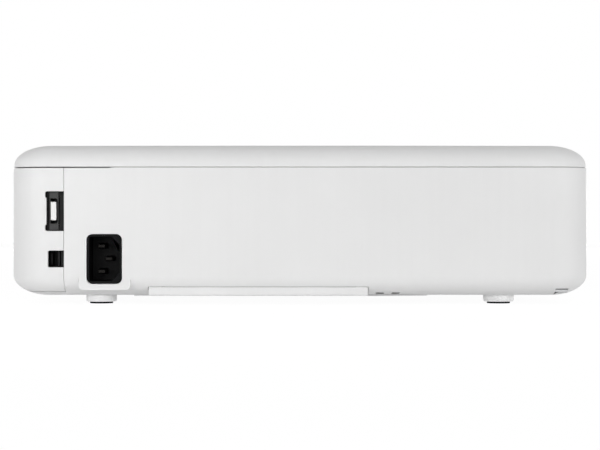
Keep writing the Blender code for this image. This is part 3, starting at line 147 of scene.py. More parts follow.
# Uncoated paper has no gloss, so it shows the eye a soft grey shadow and nothing else. It is
# clear from below, so that a view from under the floor shows the underside.
paper, tree = emptied(bpy.data.materials.new("white paper"))


def glowing(code, strength):
    """Matt paper that also gives off a little white light of its own."""
    matt = add_node(tree, "ShaderNodeBsdfDiffuse", {"Color": linear(code)})
    glow = {"Color": linear("#FFFFFF"), "Strength": strength}
    glow = add_node(tree, "ShaderNodeEmission", glow)
    pair = {0: matt.outputs[0], 1: glow.outputs[0]}
    return add_node(tree, "ShaderNodeAddShader", pair).outputs[0]


as_light, as_seen = glowing("#F0F0F0", TABLE_GLOW), glowing("#565656", FLOOR_GLOW)
choice = {0: seen_by_eye(tree), 1: as_light, 2: as_seen}
ground = add_node(tree, "ShaderNodeMixShader", choice)
below = add_node(tree, "ShaderNodeNewGeometry").outputs["Backfacing"]
clear_below = add_node(tree, "ShaderNodeBsdfTransparent")
choice = {0: below, 1: ground.outputs[0], 2: clear_below.outputs[0]}
ground = add_node(tree, "ShaderNodeMixShader", choice)
add_node(tree, "ShaderNodeOutputMaterial", {"Surface": ground.outputs[0]})


def object_of(shape, name):
    mesh = bpy.data.meshes.new(name)
    shape.to_mesh(mesh)
    shape.free()
    return placed(name, mesh)


sheet = bmesh.new()
bmesh.ops.create_grid(sheet, x_segments=1, y_segments=1, size=FLOOR_SIDE / 2)
floor = object_of(sheet, "floor")
floor.data.materials.append(paper)


# ---- the lower case
# The deep tray that holds everything: injection-moulded ABS 2.5 mm thick, satin white, with the
# ribs, rails and guides moulded in one with it. The top cover sits on the tongue round its rim.
WIDTH, DEPTH = 320, 211
LOW, HIGH = 5, 88.5
CORNER = 21
EDGE_RUN, EDGE_RISE = 19.5, 11.4
TOP_RUN = 14  # the front and rear edges of the top turn in less than its sides
TOP_DROP, CROWN = 0.38, 0.25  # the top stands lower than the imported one, more so at its sides
WALL = 2.5
SEAM, SEAM_GAP = 75.75, 0.3
PORT_SEAM = SEAM - 0.4  # the top of the port cover
SIDE, FRONT, REAR = WIDTH / 2, DEPTH / 2, -DEPTH / 2
IN_FLOOR = LOW + WALL / 2  # where what stands on the floor starts
SEAM_PORT, PORT_END = -129.4, -62  # where the port cover ends on the rear and on the left
PORT_LOW = 7
BEYOND = 4  # how far a cutter passes the skin
SAME_POINT = 0.001  # corners this near each other become one
LENS_X, LENS_Z = 92, 44
INLET_X, INLET_Z = -107.2, 25.4
LEG_Y = 76  # the front foot


def span(centre, size):
    return centre - size / 2, centre + size / 2


def grown(ends, by):
    return ends[0] - by, ends[1] + by


def row(count, pitch, middle=0):
    """The centres of equal steps along a line."""
    return [middle + pitch * (n - (count - 1) / 2) for n in range(count)]


def along(axis, x, y, z):
    """A place whose own Z points along the world's X or Y."""
    turns = {
        "X": Matrix.Rotation(math.radians(90), 4, "Y"),
        "Y": Matrix.Rotation(math.radians(-90), 4, "X"),
    }
    return Matrix.Translation((x, y, z)) @ turns[axis]


def at(x, y, z=0, turn=0):
    """An upright place, turned by some degrees."""
    return Matrix.Translation((x, y, z)) @ Matrix.Rotation(math.radians(turn), 4, "Z")


def rounded(shape, radius, steps, axis=None, test=None):
    """Round the edges along an axis, or every edge, where a test of their middle allows it."""
    chosen = []
    for edge in shape.edges:
        a, b = (vert.co for vert in edge.verts)
        run = axis is None or abs((b - a).normalized()["XYZ".index(axis)]) > 0.9
        if run and (test is None or test((a + b) / 2)):
            chosen.append(edge)
    bmesh.ops.bevel(
        shape, geom=chosen, offset=radius, segments=steps, profile=0.5, affect="EDGES", material=-1
    )
    return shape


def moved(shape, place):
    bmesh.ops.transform(shape, matrix=place, verts=shape.verts)
    return shape


def slab(x, y, z, place=None):
    """A box between three spans."""
    shape = bmesh.new()
    bmesh.ops.create_cube(shape, size=1)
    sides = Vector((x[1] - x[0], y[1] - y[0], z[1] - z[0]))
    bmesh.ops.scale(shape, vec=sides, verts=shape.verts)
    middle = Vector((sum(x) / 2, sum(y) / 2, sum(z) / 2))
    bmesh.ops.translate(shape, vec=middle, verts=shape.verts)
    return shape if place is None else moved(shape, place)


def rod(radius, ends, place, sides=48):
    """A round bar between two heights of a place's own Z."""
    shape = bmesh.new()
    size = {"radius1": radius, "radius2": radius, "depth": ends[1] - ends[0]}
    bmesh.ops.create_cone(shape, cap_ends=True, segments=sides, **size)
    bmesh.ops.translate(shape, vec=Vector((0, 0, sum(ends) / 2)), verts=shape.verts)
    return moved(shape, place)


def merged(*shapes):
    """Several closed shapes that don't meet, as one."""
    whole = bmesh.new()
    for shape in shapes:
        carrier = bpy.data.meshes.new("carrier")
        shape.to_mesh(carrier)
        shape.free()
        whole.from_mesh(carrier)
        bpy.data.meshes.remove(carrier)
    return whole


def settled(item):
    """The shape of an object with its modifiers worked in. The object goes."""
    bpy.context.view_layer.update()
    shape = bmesh.new()
    shape.from_object(item, bpy.context.evaluated_depsgraph_get())
    bpy.data.objects.remove(item)
    return shape


def carved(form, operation, *tools):
    """A form after exact Booleans with its tools, one after another."""
    item = object_of(form, "form")
    others = [object_of(tool, f"tool_{number}") for number, tool in enumerate(tools)]
    for other in others:
        step = item.modifiers.new(other.name, "BOOLEAN")
        step.operation = operation
        step.solver = "EXACT"
        step.object = other
    made = settled(item)
    for other in others:
        bpy.data.objects.remove(other)
    return made


def cut(form, *tools):
    return carved(form, "DIFFERENCE", *tools)


def joined(form, *tools):
    return carved(form, "UNION", *tools)


def walled(skin, thickness):
    """An open skin thickened inwards."""
    item = object_of(skin, "skin")
    wall = item.modifiers.new("wall", "SOLIDIFY")
    wall.thickness = thickness
    wall.offset = -1
    wall.use_even_offset = True
    return settled(item)


def piece(name, shape, finish, *stands_for, body="case", soften=0.25, turn=32):
    """Make a shape a piece in metres, with its small edge rounds, finish and body."""
    bmesh.ops.scale(shape, vec=Vector((MM, MM, MM)), verts=shape.verts)
    bmesh.ops.remove_doubles(shape, verts=shape.verts, dist=SAME_POINT * MM)
    item = object_of(shape, name)
    item.data.materials.append(finish)
    item.data.shade_smooth()
    item.data.set_sharp_from_angle(angle=math.radians(turn))
    if soften:
        rounds = item.modifiers.new("edge rounds", "BEVEL")
        rounds.width = soften * MM
        rounds.segments = 2
        rounds.limit_method = "ANGLE"
        rounds.angle_limit = math.radians(turn)
        rounds.use_clamp_overlap = False
        rounds.loop_slide = False
    even = item.modifiers.new("even flats", "WEIGHTED_NORMAL")
    even.keep_sharp = True
    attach(item, body)
    if stands_for:
        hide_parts(*stands_for)


DRIFT, DRIFT_SIZE = 0.03, 45  # the colour goes up and down by this much over so many mm
FLOW_PITCH = 3.5  # of the plastic's upright flow lines
PLASTIC_IOR = 1.53


def new_finish(name):
    """A new material with its empty node tree."""
    return emptied(bpy.data.materials.new(name))


def moulded(name, slot, code, roughness, grain=0.7, depth=0.01, streaks=0, shine=0.5):
    """Moulded thermoplastic. Its colour drifts a little, and the tool's grain breaks its gloss.

    The real grain is 0.1 to 0.3 mm, and is drawn at grain mm so that it shows.
    """
    finish, tree = new_finish(name)
    where = add_node(tree, "ShaderNodeTexCoord").outputs["Object"]
    broad = {"Vector": where, "Scale": 1 / (DRIFT_SIZE * MM), "Detail": 2.0}
    broad = add_node(tree, "ShaderNodeTexNoise", broad)
    upright = add_node(tree, "ShaderNodeMapping", {"Vector": where, "Scale": (1, 1, 0.03)})
    flow = {"Vector": upright.outputs[0], "Scale": 1 / (FLOW_PITCH * MM), "Detail": 1.0}
    lines = add_node(tree, "ShaderNodeTexNoise", flow)
    mean = {0: lines.outputs["Fac"], 1: streaks, 2: broad.outputs["Fac"]}
    mix = add_node(tree, "ShaderNodeMath", mean, operation="MULTIPLY_ADD")
    base = Vector(linear(code)[:3])
    pair = {0: mix.outputs[0], 6: (*base * (1 - DRIFT), 1), 7: (*base * (1 + DRIFT), 1)}
    colour = add_node(tree, "ShaderNodeMix", pair, data_type="RGBA", clamp_factor=False)
    fine = {"Vector": where, "Scale": 1 / (grain * MM), "Detail": 3.0, "Roughness": 0.6}
    specks = add_node(tree, "ShaderNodeTexNoise", fine).outputs["Fac"]
    bump = {"Height": specks, "Strength": 0.5, "Distance": depth * MM}
    relief = add_node(tree, "ShaderNodeBump", bump)
    gloss = {0: specks, 1: 0.12, 2: roughness - 0.06}
    sheen = add_node(tree, "ShaderNodeMath", gloss, operation="MULTIPLY_ADD")
    surface = {
        "Base Color": colour.outputs[2],
        "Roughness": sheen.outputs[0],
        "IOR": PLASTIC_IOR,
        "Specular IOR Level": shine,
        "Normal": relief.outputs[0],
    }
    shader = add_node(tree, "ShaderNodeBsdfPrincipled", surface)
    add_node(tree, "ShaderNodeOutputMaterial", {"Surface": shader.outputs[0]})
    return finish


def parted(shape, place, normal, **dropped):
    """A shape with new edges where a plane crosses it. Either side may be dropped."""
    whole = shape.verts[:] + shape.edges[:] + shape.faces[:]
    plane = {"plane_co": Vector(place), "plane_no": Vector(normal)}
    bmesh.ops.bisect_plane(shape, geom=whole, **plane, **dropped)
    return shape


# The long strips of the round edges are parted beside each opening, so that they shade evenly.
EDGE_CUTS = [(x, 0, 0) for x in (-128, -121.6, -92.8, -84.5, 38.5, 60, 128)]
EDGE_CUTS += [(0, y, 0) for y in (-61, 60)]
CORNER_STEPS, EDGE_STEPS = 18, 14
CLOSE = 0.3  # a vertex this near a ring of the round edge lies on it


def body_form(inset=0):
    """The closed outer form: upright corners round, top and bottom edges elliptical."""
    stretch = EDGE_RUN / EDGE_RISE
    height = (HIGH - LOW) * stretch
    shape = slab(span(0, WIDTH - 2 * inset), span(0, DEPTH - 2 * inset), span(0, height))
    rounded(shape, CORNER, CORNER_STEPS, "Z")
    rounded(shape, EDGE_RUN, EDGE_STEPS, test=lambda m: abs(m.z) > height / 4)
    bmesh.ops.scale(shape, vec=Vector((1, 1, 1 / stretch)), verts=shape.verts)
    bmesh.ops.translate(shape, vec=Vector((0, 0, (HIGH + LOW) / 2)), verts=shape.verts)
    for place in EDGE_CUTS:
        parted(shape, place, place)
    # Each ring of the top's round edge moves out towards the front and the rear.
    straight = Vector((SIDE - inset - CORNER, FRONT - inset - CORNER))
    for vert in shape.verts:
        rise = max(0, vert.co.z - HIGH + EDGE_RISE) / EDGE_RISE
        run = EDGE_RUN * (1 - math.cos(math.asin(min(1, rise))))
        out = Vector((abs(vert.co.x), abs(vert.co.y))) - straight
        out.x = max(0, out.x)
        if out.y > 0 and abs(out.length - CORNER + run) < CLOSE:
            move = run * (1 - TOP_RUN / EDGE_RUN) * out.y / out.length
            vert.co.y += math.copysign(move, vert.co.y)
        if vert.co.z > SEAM:
            drop = TOP_DROP + CROWN * (vert.co.x / SIDE) ** 2
            vert.co.z -= drop * (vert.co.z - SEAM) / (HIGH - SEAM)
    return shape


def opened(shape, height, keep_above):
    """A closed form cut at a height, with one side dropped and left open."""
    dropped = {"clear_inner": keep_above, "clear_outer": not keep_above}
    return parted(shape, (0, 0, height), (0, 0, 1), **dropped)


def port_space(inset, above):
    """The corner at the rear left that the port cover fills."""
    y = (REAR - BEYOND, PORT_END - inset)
    return slab((-SIDE - BEYOND, SEAM_PORT - inset), y, (PORT_LOW + inset, SEAM + above))


def rim_tongue():
    """The thin upright rib inside the seam."""
    high = (SEAM - 3, SEAM + 1.2)
    ring = slab(span(0, WIDTH - 4.6), span(0, DEPTH - 4.6), high)
    room = slab(span(0, WIDTH - 7), span(0, DEPTH - 7), grown(high, BEYOND))
    ring = rounded(ring, 18.7, CORNER_STEPS, "Z")
    return cut(ring, rounded(room, 17.5, CORNER_STEPS, "Z"))


# The grain makes the white satin: it shades softly and mirrors nothing.
satin = {"streaks": 0.35, "shine": 0.25}
white_abs = moulded("white ABS, fine spark-eroded grain", "white_abs", "#E8E8E8", 0.5, **satin)

# A flat pad round the mains inlet, which carries the rear face on down past the round edge.
inlet_pad = slab(span(INLET_X, 28.3), (REAR + 0.1, REAR + 6.5), (8.2, 42.2))
inlet_pad = rounded(inlet_pad, 2.6, 8, "Y", lambda m: m.z < INLET_Z)
inlet_pad = rounded(inlet_pad, 0.35, 4, test=lambda m: m.y < REAR + 0.11)
# What stands on the floor inside, each piece under the one that it carries.
partition_y = (PORT_END - WALL, PORT_END + 1.8)
board_feet = [slab(span(-130.8, 6), span(y, 6), (IN_FLOOR, 13.7)) for y in (-53.5, 16.7)]
supply_rails = [slab(span(x, 4), (-72, 42), (IN_FLOOR, 12.5)) for x in (-117.76, -95.44)]
fan_ledges = [
    slab(span(-68, 64), (78, 84), (IN_FLOOR, 12.35)),
    slab(span(-30, 50), (-39.7, -33.7), (IN_FLOOR, 12.7)),
]
supports = [
    inlet_pad,
    slab((-SIDE + WALL / 2, -132.4), partition_y, (16.4, SEAM - 1.5)),  # behind the port cover
    slab((-SIDE + 23.5, -132.6), grown(partition_y, -0.1), (IN_FLOOR, 18.9)),  # and its foot
    *board_feet,
    *supply_rails,
    *fan_ledges,
    rod(9.3, (IN_FLOOR, 42), at(0, LEG_Y)),  # the guide of the front foot
    slab((138.4, 149.2), (-95, -87.5), (8.6, 11.7)),  # the roof of the security pocket
    slab((-131.6, -128.6), (REAR + WALL + 0.05, REAR + WALL + 1.2), (9.5, SEAM - 1.5)),
]
ceiling_points = [at(-106.5, -20), at(46, -20), at(0, 50)]
supports += [rod(5, (IN_FLOOR, 12), place) for place in ceiling_points]

# The inlet, the lip's recess, the security pocket, the latch slots and the port cover's seam.
inlet_hole = (REAR - BEYOND, REAR + 10.5), span(INLET_Z - 0.05, 27.35)
inlet_hole = rounded(slab(span(INLET_X - 0.12, 19.46), *inlet_hole), 3.2, 8, "Y")
rear_openings = [
    port_space(0, BEYOND),
    inlet_hole,
    slab((-83.6, 37.6), (REAR - BEYOND, -83.5), (1, 10.05)),
    slab((140.9, 148.2), (REAR - BEYOND, -90), (1, 8.9)),
    merged(*[slab(span(x, 4.5), (REAR, REAR + 15.5), (5.85, 6.7)) for x in (44.2, 53.0)]),
    slab((SEAM_PORT - 5, -104), (REAR - 5, REAR + 4.5), (PORT_SEAM, SEAM + 6)),
]
# The lens, the lens cover's slot, the grille, the receiver window and the release lever.
front_wall = (FRONT - 9.75, FRONT + BEYOND)
front_openings = [
    rod(27.5, front_wall, along("Y", LENS_X, 0, LENS_Z), sides=96),
    slab((-8.3, 60.3), front_wall, (40.5, 47.5)),
    slab((-104.3, -31.7), front_wall, (17.35, 71.95)),
    rounded(slab((-27.3, -13.7), front_wall, (53.7, 62.3)), 3.2, 8, "Y"),
    slab(span(0, 20.6), (FRONT - EDGE_RUN, FRONT + BEYOND), (8.7, 13.3)),
]
# The filter cover, the front foot and the ceiling fixing points.
under_openings = [
    slab((-93.3, 71.3), (-86.3, -39.7), (1, 7.8)),
    rod(7.3, (1, 46), at(0, LEG_Y)),
    merged(*[rod(2.1, (1, 11.4), place, 24) for place in ceiling_points]),
]
sound_slots = merged(
    *[slab((-162.5, -155), span(y, 1.8), span(46, 30)) for y in row(8, 4.2, 20)]
)
tray = walled(opened(body_form(), SEAM - SEAM_GAP / 2, keep_above=False), WALL)
tray = joined(tray, rim_tongue(), *supports)
tray = cut(tray, *rear_openings, *front_openings, *under_openings, sound_slots)
piece("lower_case_moulding", tray, white_abs, "lower_case")


# ---- the top cover
# The lid, moulded in the same white ABS, 1.7 mm thick. It steps in 0.3 mm from the case all
# round and comes down over the tongue. The control board hangs from four posts inside it.
LID_WALL, LID_STEP = 1.7, 0.3
KEYS_X, KEYS_Y = 10, -52
KEY_RADIUS, KEY_GAP = 4.6, 0.3
KEYSTONE_X = 84
THROUGH_LID = (84, 92)
key_steps = {
    "power": (-44, 0),
    "source": (-31, 0),
    "menu": (28.5, 7.75),
    "escape": (28.5, -7.75),
    "enter": (0, 0),
    "up": (0, 13),
    "down": (0, -13),
    "left": (-13, 0),
    "right": (13, 0),
}
key_places = {key: at(KEYS_X + x, KEYS_Y + y) for key, (x, y) in key_steps.items()}
light_places = [(x, KEYS_Y + 13) for x in row(3, 6, -28)]

posts = [(x, y) for x in (-52, 56) for y in (-69, -35)]
lid = walled(opened(body_form(LID_STEP), SEAM + SEAM_GAP / 2, keep_above=True), LID_WALL)
lid = joined(lid, *[rod(2.5, (81.9, 87.6), at(x, y), 24) for x, y in posts])
key_holes = [rod(KEY_RADIUS + KEY_GAP, THROUGH_LID, place) for place in key_places.values()]
light_holes = [rod(1.5, THROUGH_LID, at(x, y), 24) for x, y in light_places]
keystone_slot = slab(span(KEYSTONE_X, 29.6), span(KEYS_Y, 5.2), THROUGH_LID)
keystone_slot = rounded(keystone_slot, 1.2, 6, "Z")
lid = cut(lid, merged(*key_holes, *light_holes), keystone_slot)
piece("top_cover_moulding", lid, white_abs, "top_cover", soften=0.35)


# ---- the port cover
# The removable corner at the rear left, in the same white ABS. It slides off sideways, and two
# notches in its edge leave the sockets open. A hairline down the rear face parts it from the case.
through = (REAR - BEYOND, REAR + 6.5)


def notch(left, z, radius, steps):
    """A cutter for a round-cornered notch that runs out of the panel's right edge."""
    return rounded(slab((left, -125), through, z), radius, steps, "Y")


panel = walled(opened(body_form(), PORT_SEAM, keep_above=False), WALL)
panel = carved(panel, "INTERSECT", port_space(0.2, BEYOND))
ears = [notch(-139.8, z, 1.1, 8) for z in ((40.7, 44.4), (58.8, 62.5))]
video_notch, service_notch = notch(-139.1, (41.2, 62.0), 0.6, 4), notch(-138.2, (20.8, 30), 0.8, 6)
panel = cut(panel, video_notch, merged(*ears), service_notch)
piece("port_cover_moulding", panel, white_abs, "port_cover", body="port_cover")


# ---- the socket plate
# A black ABS plate, fixed upright in the case behind the port cover, frames the two sockets. The
# service socket's body is moulded in the same plastic round a flat tongue.
VIDEO_Z, SERVICE_Z = 51.7, 25.4

# The dense grain gives almost no gloss, so that what it covers reads as a dark hollow.
black_abs = moulded("black ABS, dense matt grain", "black_abs", "#121213", 0.5, 0.5, shine=0.16)
plate = slab((-141.5, -127.5), (-101.6, -100.6), (14, 72))
windows = [
    slab((-137.9, -132.4), (-105, -98), span(VIDEO_Z, 15.4)),
    slab((-142, -131.6), (-105, -98), span(SERVICE_Z, 11.4)),
]
plate = cut(plate, *windows)
piece("port_bracket_plate", plate, black_abs, "port_bracket")

service = slab((-141.7, -131.9), (-102.4, -90.4), span(SERVICE_Z, 10.8))
service = cut(service, slab((-140.5, -133.1), (-110, -93.4), span(SERVICE_Z, 8.4)))
service = joined(service, slab((-137.6, -136.2), (-99.6, -93), span(SERVICE_Z, 6.6)))
piece("service_socket_body", service, black_abs, "service_socket")


# ---- the video socket
# A drawn steel shell in nickel with its flange against the plate; its colour is darkened as
# painted shade of the notch. Inside it a white nylon body shows as the light tongue, and the slot
# beside it is dark.
def metal(name, code, roughness, grain, depth, brushed=(1, 1, 1)):
    """Bare or plated metal. A stretched grain is brushed or drawn, an even one is cast.

    Real lines are under 0.1 mm apart, and are drawn at grain mm so that they show.
    """
    finish, tree = new_finish(name)
    where = add_node(tree, "ShaderNodeTexCoord").outputs["Object"]
    drawn = add_node(tree, "ShaderNodeMapping", {"Vector": where, "Scale": brushed})
    pattern = {"Vector": drawn.outputs[0], "Scale": 1 / (grain * MM), "Detail": 3.0}
    lines = add_node(tree, "ShaderNodeTexNoise", pattern).outputs["Fac"]
    gloss = {0: lines, 1: 0.2, 2: roughness - 0.1}
    sheen = add_node(tree, "ShaderNodeMath", gloss, operation="MULTIPLY_ADD")
    base = Vector(linear(code)[:3])
    pair = {0: lines, 6: (*base * 0.9, 1), 7: (*base * 1.1, 1)}
    colour = add_node(tree, "ShaderNodeMix", pair, data_type="RGBA")
    bump = {"Height": lines, "Strength": 0.4, "Distance": depth * MM}
    relief = add_node(tree, "ShaderNodeBump", bump)
    surface = {
        "Base Color": colour.outputs[2],
        "Metallic": 1.0,
        "Roughness": sheen.outputs[0],
        "Normal": relief.outputs[0],
    }
    shader = add_node(tree, "ShaderNodeBsdfPrincipled", surface)
    add_node(tree, "ShaderNodeOutputMaterial", {"Surface": shader.outputs[0]})
    return finish


# The nickel's dark colour is painted shade, with one soft line of light along the flange.
shade_darkened_nickel = metal(
    "nickel on drawn steel, darkened as painted shade", "#3B3B3B", 0.42, 0.4, 0.004, (1, 0.1, 1)
)
# The nylon is matt and even, the only light thing in the notch.
white_nylon = moulded("white glass-filled nylon", "light_nylon", "#F6F6F4", 0.5, 0.5)


def tapered(x, y, height, radius):
    """A bar round the socket's axis, with the edges of its right side cut off."""
    shape = slab(x, y, span(VIDEO_Z, height))
    return rounded(shape, radius, 3, "Y", lambda m: m.x > sum(x) / 2)


shell = tapered((-137.5, -132.95), (-102.4, -89.2), 14.8, 1.2)
flange = slab((-137.75, -132.7), (-102.45, -101.9), span(VIDEO_Z, 20.8))
mouth = tapered((-137.2, -133.25), (-106, -89.7), 13.8, 1.2)
shell = cut(joined(shell, rounded(flange, 0.5, 4, "Y")), mouth)
piece("video_shell_plated", shell, shade_darkened_nickel, "hdmi_shell", soften=0.08)
core = tapered((-137.1, -134), (-102.1, -90), 10.1, 0.6)
piece("video_insert_nylon", core, white_nylon, "hdmi_insert", soften=0.15)


# ---- the mains inlet
# A three-pole inlet in black polyamide, turned a quarter so that its long side stands up and
# its chamfered side faces the middle. Its nickelled brass blades are coloured dark with painted
# shade of the well.
BLADE_FRONT = REAR + 4.5

# The polyamide is near black and dry, so that only its rim catches light.
black_pa = moulded("black polyamide", "black_abs", "#0A0A0B", 0.42, 0.6, shine=0.08)
# Painted shade of the well darkens the blades' colour, so that they are dark bars, each with one
# dull edge.
shade_darkened_brass = metal(
    "nickel on brass, darkened as painted shade", "#201F1E", 0.5, 0.3, 0.004, (1, 0.08, 1)
)
blade_places = {
    "inlet_live_blade": (INLET_X - 2, INLET_Z + 7),
    "inlet_neutral_blade": (INLET_X - 2, INLET_Z - 7),
    "inlet_earth_blade": (INLET_X + 2, INLET_Z),
}

housing = slab(span(INLET_X, 19.1), (REAR, REAR + 24), span(INLET_Z, 27.2))
housing = rounded(housing, 3.0, 8, "Y")
rim = slab(span(INLET_X, 23.5), (REAR + 6.8, REAR + 8.3), span(INLET_Z, 28.6))
well = slab(span(INLET_X, 16.6), (REAR - BEYOND, REAR + 16.8), span(INLET_Z, 24.4))
well = rounded(well, 4.5, 1, "Y", lambda m: m.x > INLET_X)
well = rounded(well, 1.0, 4, "Y", lambda m: m.x < INLET_X)
blade_holes = [
    slab(span(x, 4.6), (BLADE_FRONT, REAR + 28), span(z, 2.6)) for x, z in blade_places.values()
]
housing = cut(joined(housing, rim), well, *blade_holes)
piece("inlet_housing_moulding", housing, black_pa, "inlet_housing", soften=0.3)
for name, (x, z) in blade_places.items():
    blade = slab(span(x, 4), (BLADE_FRONT, REAR + 24.5), span(z, 2))
    blade = rounded(blade, 0.55, 3, test=lambda m: m.y < BLADE_FRONT + 0.5)
    piece(f"{name}_pin", blade, shade_darkened_brass, name, soften=0.15)


# ---- the filter cover and its foam
# A slotted white ABS door in the underside, hinged at its front edge. Its lip turns up to the
# rear as a finger grip. Behind the slots lies a pad of open-cell polyurethane foam.
DOOR_LEFT, DOOR_RIGHT = -93, 71
SLOTS = 13

slot_pitch = (DOOR_RIGHT - DOOR_LEFT) / (SLOTS + 1)
slots = [
    rounded(slab(span(DOOR_LEFT + n * slot_pitch, 4), span(-63, 34), (0, 12)), 1.95, 6, "Z")
    for n in range(1, SLOTS + 1)
]
lip = slab((-83.3, 37.3), (-102.2, -83.8), (5.0, 9.9))
lip = rounded(lip, 1.2, 6, "X", lambda m: m.y < -95 and m.z < 7)
lip = cut(lip, slab((-90, 45), (-99.7, -80), (7, 14)))
door = joined(slab((DOOR_LEFT, DOOR_RIGHT), (-86, -40), (4.55, 7)), lip)
door = cut(door, merged(*slots))
piece("filter_cover_moulding", door, white_abs, "filter_cover", body="filter_door", soften=0.4)

# Painted shade darkens the hollows of the cells, with paler walls between them, so that the pad
# looks dry and soft. The real cells are about 1 mm across, and are drawn at 1.4 mm so that they
# show.
foam, tree = emptied(bpy.data.materials.new("open-cell polyurethane foam"))
where = add_node(tree, "ShaderNodeTexCoord").outputs["Object"]
cells = {"Vector": where, "Scale": 1 / (1.4 * MM), "Randomness": 0.9}
cells = add_node(tree, "ShaderNodeTexVoronoi", cells).outputs["Distance"]
pair = {0: cells, 6: linear("#0E0E0F"), 7: linear("#4A4A4C")}
shade = add_node(tree, "ShaderNodeMix", pair, data_type="RGBA")
dents = {"Height": cells, "Strength": 0.9, "Distance": 0.5 * MM}
dents = add_node(tree, "ShaderNodeBump", dents)
dry = {"Base Color": shade.outputs[2], "Roughness": 0.95, "Normal": dents.outputs[0]}
dry = add_node(tree, "ShaderNodeBsdfPrincipled", dry)
add_node(tree, "ShaderNodeOutputMaterial", {"Surface": dry.outputs[0]})


def dress(finish, *names):
    """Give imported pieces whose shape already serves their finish."""
    for name in names:
        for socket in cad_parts[name].material_slots:
            socket.material = finish


dress(foam, "air_filter")


# ---- the feet and the foot release
# Two round ABS feet behind and one at the front, on a leg that slides out of its guide and
# locks in notches. Each stands on a black rubber pad with rings for grip. A ribbed lever in
# the front wall frees the leg.
FOOT_X, FOOT_Y = 111.9, -76
FOOT_RADIUS, SKIRT = 8.6, 1.0
PAD_RADIUS, PAD_SEAT = 6.5, 2.2
GRIP_RADII = (4.9, 3.4, 1.9)

# The rubber is a dull black that goes grey only where light grazes it.
rubber = moulded("black nitrile rubber", "black_rubber", "#0E0E0E", 0.8, 0.5, 0.03, shine=0.1)


def lathe(profile, place, steps=64, closed=False):
    """Radii and heights spun about a place's own Z. The line may close on itself."""
    shape = bmesh.new()
    points = [shape.verts.new((radius, 0, height)) for radius, height in profile]
    ends = points[1:] + points[:1] if closed else points[1:]
    line = [shape.edges.new(pair) for pair in zip(points, ends)]
    turn = {"cent": (0, 0, 0), "axis": (0, 0, 1), "dvec": (0, 0, 0), "angle": math.tau}
    bmesh.ops.spin(shape, geom=points + line, steps=steps, use_merge=True, **turn)
    bmesh.ops.remove_doubles(shape, verts=shape.verts, dist=SAME_POINT)
    bmesh.ops.recalc_face_normals(shape, faces=shape.faces)
    return moved(shape, place)


# A polished tool leaves the feet smoother than the case; their whiter colour is painted light.
painted_light_abs = moulded("white ABS, polished tool, whitened as painted light", "white_abs", "#FCFCFC", 0.4, shine=0.3)

foot_line = [(FOOT_RADIUS, 1.7), (FOOT_RADIUS - 0.3, 1.1), (FOOT_RADIUS - 0.8, SKIRT)]
foot_line += [(PAD_RADIUS + 0.3, SKIRT), (PAD_RADIUS + 0.3, PAD_SEAT), (0, PAD_SEAT)]
pad_line = [(0, 1.9), (PAD_RADIUS, 1.9), (PAD_RADIUS, 0.08), (PAD_RADIUS - 0.08, 0)]
for radius in GRIP_RADII:
    pad_line += [(radius + 0.4, 0), (radius + 0.2, 0.3), (radius - 0.2, 0.3), (radius - 0.4, 0)]
pad_line += [(0, 0)]
for side, x in (("left", -FOOT_X), ("right", FOOT_X)):
    name = f"rear_foot_{side}"
    foot = lathe([(0, LOW - 0.02), (FOOT_RADIUS, LOW - 0.02)] + foot_line, at(x, FOOT_Y))
    piece(f"{name}_moulding", foot, painted_light_abs, name)
    pad = lathe(pad_line, at(x, FOOT_Y))
    piece(f"{name}_pad", pad, rubber, f"rear_foot_pad_{side}", soften=0)

leg_line = [(0, 45), (6.4, 45), (7, 44.4)]
for step in range(9):
    top = 38 - 3 * step
    leg_line += [(7, top), (6.5, top - 0.5), (6.5, top - 1.1), (7, top - 1.6)]
leg_line += [(7, 4.7), (FOOT_RADIUS, 4.7)] + foot_line
leg, pad = lathe(leg_line, at(0, LEG_Y)), lathe(pad_line, at(0, LEG_Y))
piece("front_foot_screw_leg", leg, painted_light_abs, "front_foot_leg", body="front_foot", soften=0.15)
piece("front_foot_rubber", pad, rubber, "front_foot_pad", body="front_foot", soften=0)

lever = rounded(slab(span(0, 20), (88, 102.6), (9, 13)), 0.9, 4, test=lambda m: m.y > 102)
lever = cut(lever, merged(*[slab(span(x, 0.7), (101.9, 103.5), (8.6, 13.4)) for x in row(9, 2)]))
piece("foot_release_tab", lever, white_abs, "foot_release_lever", body="foot_release", soften=0.12)


# ---- the security bar
# A zinc-plated steel pin, pressed into both walls of the pocket at the rear right, for a cable
# lock to close round.

# Zinc gives the pin one bright, slightly blurred line of light.
zinc_steel = metal("zinc-plated steel", "#C9CACB", 0.34, 0.5, 0.003, (0.15, 1, 1))
bar = rod(0.9, (140.7, 148.4), along("X", 0, -93.8, 7.8), 32)
piece("security_pin", bar, zinc_steel, "security_bar", soften=0)


# ---- the ceiling bracket's inserts
# Three threaded brass inserts, pressed warm into bosses of the lower case, take the screws of a
# ceiling bracket. They sit at the mouths of three plain holes in the underside.

# Turned brass glints yellow against the white.
brass = metal("turned brass", "#C9A65B", 0.3, 0.3, 0.003, (1, 1, 0.1))
ring = [(2.05, 11.2), (2.05, 5.2), (1.75, 5.1), (1.5, 5.5), (1.5, 11.2)]
inserts = [lathe(ring, place, 32, closed=True) for place in ceiling_points]
piece("ceiling_thread_inserts", merged(*inserts), brass, soften=0)


# ---- the keys
# Nine round keys of white ABS in the cover, slightly dished. Each carries a plain printed mark
# in grey, and the ring of four arrows goes round the enter key.
KEY_TOP = 88.22
MARK_Z = (KEY_TOP - 0.15, KEY_TOP - 0.02)
UNDER_LID = 86.05  # just clear of the cover's inner face
FLANGE, STEM = 5.6, 1.5

